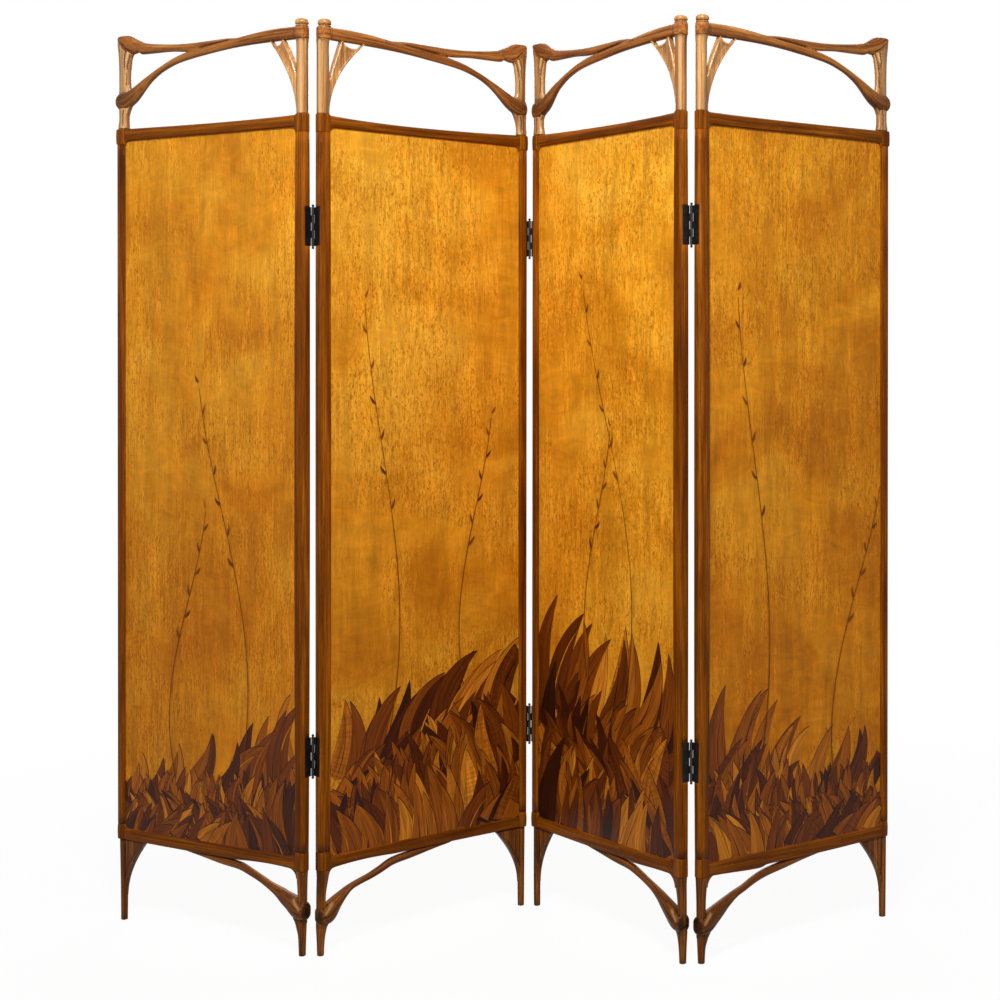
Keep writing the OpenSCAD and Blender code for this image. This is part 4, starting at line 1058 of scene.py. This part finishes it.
# How far each inner leg stands further out to the ridge, and its extra flare under the knuckle
LEG_LEAN = {1: 0.8, 2: 4.0, 3: 4.6, 4: 0.4}
LEG_FLARE = {1: 3.6, 2: 0.4, 3: 0.0, 4: 3.0}
# How far each outer leg leans inwards, and how far its ear reaches along the rail
OUTER_LEAN = {1: 3.0, 2: 0.6, 3: -1.6, 4: 0.2}
EAR_REACH = {1: 57.0, 2: 60.5, 3: 52.0, 4: 60.5}


def build_legs(k):
    """Inner leg, and outer leg with its ear."""
    w, d, f = LEG_W / 2, LEG_D / 2, FOOT_W / 2
    x = -LEG_SHIFT[k] - LEG_LEAN[k]
    top = LEG_KNUCKLE_Z[k] - LEG_KNUCKLE_HALF - 5
    wide = LEG_FLARE[k] / 2
    low = [[x, 0, f, f], [x, 0.3 * top, f + 0.5, f + 0.4], [x + 0.4, 0.6 * top, w - 0.6, d - 0.5],
           [x + 1 + wide / 2, 0.8 * top, w + 0.6 + wide / 2, d],
           [x + 2.2 + wide, top, w + 2.4 + wide, d + 0.6],
           [x + 4.4 + wide, top + 7, w + 4.6 + wide, d + 1.6], [x + 7, top + 14, w + 6, d + 2]]
    out = RIDGE_OUT[k] / 2
    upper = max(x - 0.6, w + 0.6 - RIDGE_CLEAR)
    high = [[upper, top - 1, w + 0.6, d], [upper, LEG_SEAM - 52, w + 0.6, d + 0.2],
            [-out - 0.4, LEG_SEAM - 14, STILE_W / 2 - 1.4 + out, STILE_D / 2 - 1.2],
            [-out, LEG_SEAM - 3, STILE_W / 2 - 0.5 + out, STILE_D / 2 - 0.5],
            [-out, LEG_SEAM, STILE_W / 2 - 0.5 + out, STILE_D / 2 - 0.5]]
    mesh = fused("inner_leg", [loft(low, 0.72, 6, True), loft(high, 0.72, 6, True)], 1.2, 2)
    co = coords(mesh)
    gap = np.abs(co[:, 2] - LEG_KNUCKLE_Z[k] + 2)
    # Painted shade where the leg goes into the knuckle; darker at its top where it meets the rail, and
    # towards the foot
    seams_shade_and_highlight(mesh, 0.35 * np.clip((LEG_KNUCKLE_HALF + 5 - gap) / 4, 0, 1))
    seams_shade_and_highlight(mesh, 0.4 * fade(co, LEG_SEAM - 2, 2) + 0.45 * fade(co, 14, -14))
    piece(k, "carved_inner_leg", "inner_leg", mesh, "dark_wood")

    w = OUTER_LEG_W / 2
    lean = OUTER_LEAN[k]
    face = SPAN - lean - w
    rows = [[SPAN - lean, 0, f, f], [SPAN - lean, 0.4 * RAIL_UNDER, (w + f) / 2, (w + f) / 2],
            [SPAN - 0.4 * lean, RAIL_UNDER, w, w]]
    foot = RAIL_UNDER - EAR_H
    curve = bent((face - EAR_REACH[k], RAIL_UNDER), (face, RAIL_UNDER - 1.11 * EAR_L), (face, foot), 24)
    ear = prism(curve + [(face + w / 2, foot), (face + w / 2, RAIL_UNDER)], -EAR_T / 2, EAR_T / 2)
    mesh = fused("outer_leg", [loft(rows, 0.72, 8, True), ear], 1.1, 2)
    # Painted shade in the seam and the ear's hollow; the rim along the ear's curve is raised
    seam = [(face + 1.5, RAIL_UNDER - 2), (face + 1.2, RAIL_UNDER - 50), (face + 1.6, RAIL_UNDER - 104)]
    carve(mesh, [(seam, 1.5, 1.4), ([(x + 3.2, z - 1.2) for x, z in curve], 1.4, -1.2),
                 ([(x + 8, z) for x, z in curve[3:17]], 3.2, 1.0)])
    co = coords(mesh)
    # Darker at its top under the rail, and towards the foot
    seams_shade_and_highlight(mesh, 0.6 * fade(co, RAIL_UNDER - 3, 3) + 0.45 * fade(co, 14, -14))
    piece(k, "carved_outer_leg", "outer_leg", mesh, "dark_wood")


# Inlaid veneers on the panels' fronts: banks of long pointed leaves, and slender stems with leaflets

FACE = -PANEL_T / 2
# How thick a sheet is, and how much prouder each lies than the one before
SHEET = 0.14
LAYER = 0.005
# The field that the sheets may fill, just inside the frame's grooves
FIELD = (6.0, SPAN - 6.0)
FIELD_FOOT = PANEL_FOOT - 6.0
# Height of the bank of leaves above the panel's foot, at the inner edge, the middle and the outer edge
BANK = {1: (262, 196, 128), 2: (262, 318, 404), 3: (300, 372, 404), 4: (300, 214, 150)}


def bank_height(k, x):
    """Height of the bank of leaves at x, over the panel's foot."""
    a, b, c = BANK[k]
    f = min(max(x / SPAN, 0), 1)
    wave = 13 * math.sin(9 * f + 1.7 * k) + 7 * math.sin(21 * f + 0.8 * k)
    return a * (1 - f) * (1 - 2 * f) + 4 * b * f * (1 - f) + c * f * (2 * f - 1) + wave


class Sheets:
    """Thin closed strips on a panel's front, each laid a hair above the one before."""

    def __init__(self):
        self.points, self.faces, self.grain, self.tone = [], [], [], []
        self.count = 0

    def strip(self, spine, widths, tone, seed):
        """A strip along a spine of (x, z) points with a half width at each."""
        spine, widths = np.array(spine, float), np.array(widths, float)
        inside = (spine[:, 0] > FIELD[0]) & (spine[:, 0] < FIELD[1]) & (spine[:, 1] > FIELD_FOOT)
        if not inside[0]:
            first = int(np.argmax(inside))
            spine, widths, inside = spine[first:], widths[first:], inside[first:]
        if not inside.all():
            last = int(np.argmin(inside))
            spine, widths = spine[:last], widths[:last]
        n = len(spine)
        if n < 4:
            return
        run = np.gradient(spine, axis=0)
        run /= np.hypot(run[:, 0], run[:, 1])[:, None]
        side = np.column_stack([-run[:, 1], run[:, 0]])
        edges = [spine + side * widths[:, None], spine - side * widths[:, None]]
        length = np.concatenate([[0], np.cumsum(np.hypot(*np.diff(spine, axis=0).T))])
        base = FACE - LAYER * self.count
        start = len(self.points)
        for y in (base + 0.05, base - SHEET):
            for edge, sign in zip(edges, (1, -1)):
                for i in range(n):
                    x = min(max(edge[i, 0], FIELD[0]), FIELD[1])
                    self.points.append((x, y, max(edge[i, 1], FIELD_FOOT)))
                    self.grain.append((length[i] * MM, sign * widths[i] * MM, seed))
                    self.tone.append(tone)
        for i in range(n - 1):
            a, b, c, d = (start + m * n + i for m in range(4))
            self.faces += [(a, b, b + 1, a + 1), (c, c + 1, d + 1, d), (a, a + 1, c + 1, c),
                           (b, d, d + 1, b + 1)]
        a, b, c, d = (start + m * n for m in range(4))
        self.faces.append((a, c, d, b))
        e = n - 1
        self.faces.append((a + e, b + e, d + e, c + e))
        self.count += 1

    def blade(self, x, z, angle, bend, length, width, tone, seed, blunt=0.55):
        """A long pointed leaf from (x, z); its spine turns by bend from foot to tip."""
        steps = 22
        spine, widths = [], []
        for i in range(steps + 1):
            f = i / steps
            spine.append((x, z))
            widths.append(max(width * math.sin(math.pi * f ** blunt) ** 0.8, 0.25))
            turn = angle + bend * f
            x += math.cos(turn) * length / steps
            z += math.sin(turn) * length / steps
        self.strip(spine, widths, tone, seed)

    def mesh(self, name):
        mesh = bpy.data.meshes.new(name)
        mesh.from_pydata((np.array(self.points) * MM).tolist(), [], self.faces)
        mesh.update()
        return mesh


def build_inlay(k):
    """The leaf's bank of leaves and its stems."""
    draw = random.Random(40 + k)
    sheets = Sheets()
    sway = {1: 0.55, 2: -0.5, 3: 0.5, 4: -0.55}[k]
    levels = 9
    for level in range(levels):
        share = 1 - level / (levels - 1)
        step = 20 + 8 * share
        x = FIELD[0] + draw.uniform(0, step)
        while x < FIELD[1]:
            top = bank_height(k, x)
            length = draw.uniform(0.44, 0.62) * top + 46
            z = PANEL_FOOT + share * (top - 0.62 * length) - (0.5 * length if level else 0.1 * length)
            lean = math.pi / 2 + sway * math.sin(2.6 * x / SPAN + 0.7 * level) + draw.uniform(-0.22, 0.22)
            curl = draw.uniform(0.5, 1.25)
            if math.sin(4.4 * x / SPAN + 1.3 * level + k) <= draw.uniform(-0.5, 0.5):
                curl = -curl
            tone = 0.5 + 0.2 * math.sin(0.017 * x + 1.1 * level + k) + draw.uniform(-0.3, 0.34)
            width = draw.uniform(0.085, 0.115) * length + 4
            seed = draw.uniform(0, 60)
            sheets.blade(x, z, lean - 0.45 * curl, curl, length, width + 0.7, 0.04, seed + 5)
            sheets.blade(x, z, lean - 0.45 * curl, curl, length - 2.5, width, min(max(tone, 0.05), 1.0), seed)
            if draw.random() < 0.6:
                sheets.blade(x + 1.5, z + 2, lean - 0.45 * curl, curl, 0.82 * length, draw.uniform(0.8, 2.4),
                             draw.choice((0.0, 0.1, 0.95)), draw.uniform(0, 60))
            x += step * draw.uniform(0.75, 1.3)
    for x, z, angle, bend, length in STEMS[k]:
        build_stem(sheets, draw, x, PANEL_FOOT + z, math.radians(angle), bend, length)
    mesh = sheets.mesh("inlay")
    layer = mesh.attributes.new("tone", "FLOAT", "POINT")
    layer.data.foreach_set("value", np.array(sheets.tone, np.float32))
    add_vector(mesh, "grain", sheets.grain)
    place(f"leaf_{k}_inlaid_leaves", k, mesh, INLAY)


# Stems: foot above the panel's foot, angle, bend and length
STEMS = {
    1: [(150, 170, 96, -0.5, 760), (330, 120, 80, 0.62, 560)],
    2: [(150, 230, 82, 0.4, 860), (330, 300, 96, -0.45, 560)],
    3: [(170, 300, 98, -0.6, 850), (300, 320, 84, 0.5, 520)],
    4: [(150, 200, 84, 0.34, 900), (340, 130, 92, -0.5, 600)],
}


def build_stem(sheets, draw, x, z, angle, bend, length):
    """A slender curved stem with pairs of small leaflets towards its tip."""
    steps = 60
    spine, widths = [], []
    for i in range(steps + 1):
        f = i / steps
        spine.append((x, z))
        widths.append(0.95 - 0.4 * f)
        turn = angle + bend * (math.sin(2.4 * f) - 0.2)
        x += math.cos(turn) * length / steps
        z += math.sin(turn) * length / steps
        if i > 0.45 * steps and i % 5 == 0:
            hand = 1 if i % 10 else -1
            size = 30 - 12 * f
            sheets.blade(x, z, turn + hand * 0.75, -hand * 0.5, size, 0.11 * size, draw.uniform(0.35, 0.7),
                         draw.uniform(0, 60), 0.7)
    sheets.strip(spine, widths, 0.42, draw.uniform(0, 60))


for k in LEAVES:
    for build in (build_inlay, build_rails, build_stiles, build_crest, build_posts, build_brace, build_legs):
        build(k)

# The part's own panels and hinges stay, with finer materials
for name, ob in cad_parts.items():
    if name.endswith("_panel") or "hinge" in name:
        ob.data.materials.clear()
        ob.data.materials.append(IRON if "hinge" in name else PANEL[int(name[5])])


# Camera, floor and light

# The camera as solved from the photograph: focal length and picture centre in pixels of a frame of 1000,
# place in metres, and small turns off the level in radians
FRAME = 1000.0
FOCAL = 1821.98
CENTRE = (699.2, 370.76)
CAMERA_PLACE = (0.40686, -3.70008, 1.14688)
CAMERA_DIP = 0.0015
CAMERA_ROLL = -0.00048
SENSOR = 36.0
# Share of plain white in what the camera sees of the floor under the object, and how far off it is all white
FLOOR_WHITE = 0.94
SHADOW_REACH = (0.8, 2.4)
FLOOR_HALF = 7.0
WORLD_LIGHT = 0.14
# Each lamp's place, the point that it faces, its width and height, and its power
LAMPS = {
    "key": ((0.1, -2.3, 3.1), (0.05, 0, 1.3), (0.7, 0.5), 100),
    "left_strip": ((-2.8, -2.0, 1.8), (-0.3, 0, 1.1), (0.3, 1.8), 12),
    "right_strip": ((2.8, -2.4, 1.8), (0.2, 0, 1.1), (0.3, 1.8), 12),
    "rear": ((0.0, 3.4, 2.8), (0, 0, 1.0), (2.6, 1.6), 64),
}


def place_camera():
    """The camera that the photograph was solved for; the photograph is an off-centre crop."""
    data = bpy.data.cameras.new("camera")
    data.sensor_width = SENSOR
    data.lens = FOCAL / FRAME * SENSOR
    data.shift_x = (FRAME / 2 - CENTRE[0]) / FRAME
    data.shift_y = (CENTRE[1] - FRAME / 2) / FRAME
    data.clip_end = 50
    cam = linked("camera", data)
    cam.location = CAMERA_PLACE
    cam.rotation_euler = (math.pi / 2 - CAMERA_DIP, CAMERA_ROLL, 0)
    bpy.context.scene.camera = cam


def build_stage():
    """White floor that keeps the object's shadow."""
    mesh = bpy.data.meshes.new("floor")
    corners = [(x * FLOOR_HALF, y * FLOOR_HALF, 0) for x, y in ((-1, -1), (1, -1), (1, 1), (-1, 1))]
    mesh.from_pydata(corners, [], [(0, 1, 2, 3)])
    t = Material("floor_white")
    seen = t.white_to_camera()
    t.set(Base_Color=t.mix("MIX", seen, grey(0.28), grey(0.9)), Roughness=0.9, Specular_IOR_Level=0.0)
    far = t.add("ShaderNodeVectorMath", operation="LENGTH")
    t.put(far.inputs[0], t.add("ShaderNodeTexCoord").outputs["Object"])
    share = t.levels(far.outputs["Value"], *SHADOW_REACH, FLOOR_WHITE, 1.0)
    glow = t.node("ShaderNodeEmission", {"Color": grey(1.0)})
    t.put(t.out.inputs[0], t.node("ShaderNodeMixShader", {
        0: t.math("MULTIPLY", seen, share), 1: t.bsdf.outputs[0], 2: glow}))
    mesh.materials.append(t.mat)
    linked("floor", mesh)


def build_light():
    """Plain soft studio light before a white ground."""
    world = bpy.data.worlds.new("world")
    bpy.context.scene.world = world
    t = Tree(world)
    soft, white = (t.node("ShaderNodeBackground", {"Color": grey(1.0), "Strength": strength})
                   for strength in (WORLD_LIGHT, 1.0))
    t.put(t.add("ShaderNodeOutputWorld").inputs[0],
          t.node("ShaderNodeMixShader", {0: t.white_to_camera(), 1: soft, 2: white}))
    for name, (place_at, aim, size, power) in LAMPS.items():
        data = bpy.data.lights.new(name, "AREA")
        data.shape = "RECTANGLE"
        data.size, data.size_y = size
        data.energy = power
        ob = linked(name, data)
        ob.location = place_at
        ob.rotation_euler = (Vector(aim) - Vector(place_at)).to_track_quat("-Z", "Y").to_euler()
    bpy.context.scene.view_settings.view_transform = "Standard"


place_camera()
build_stage()
build_light()
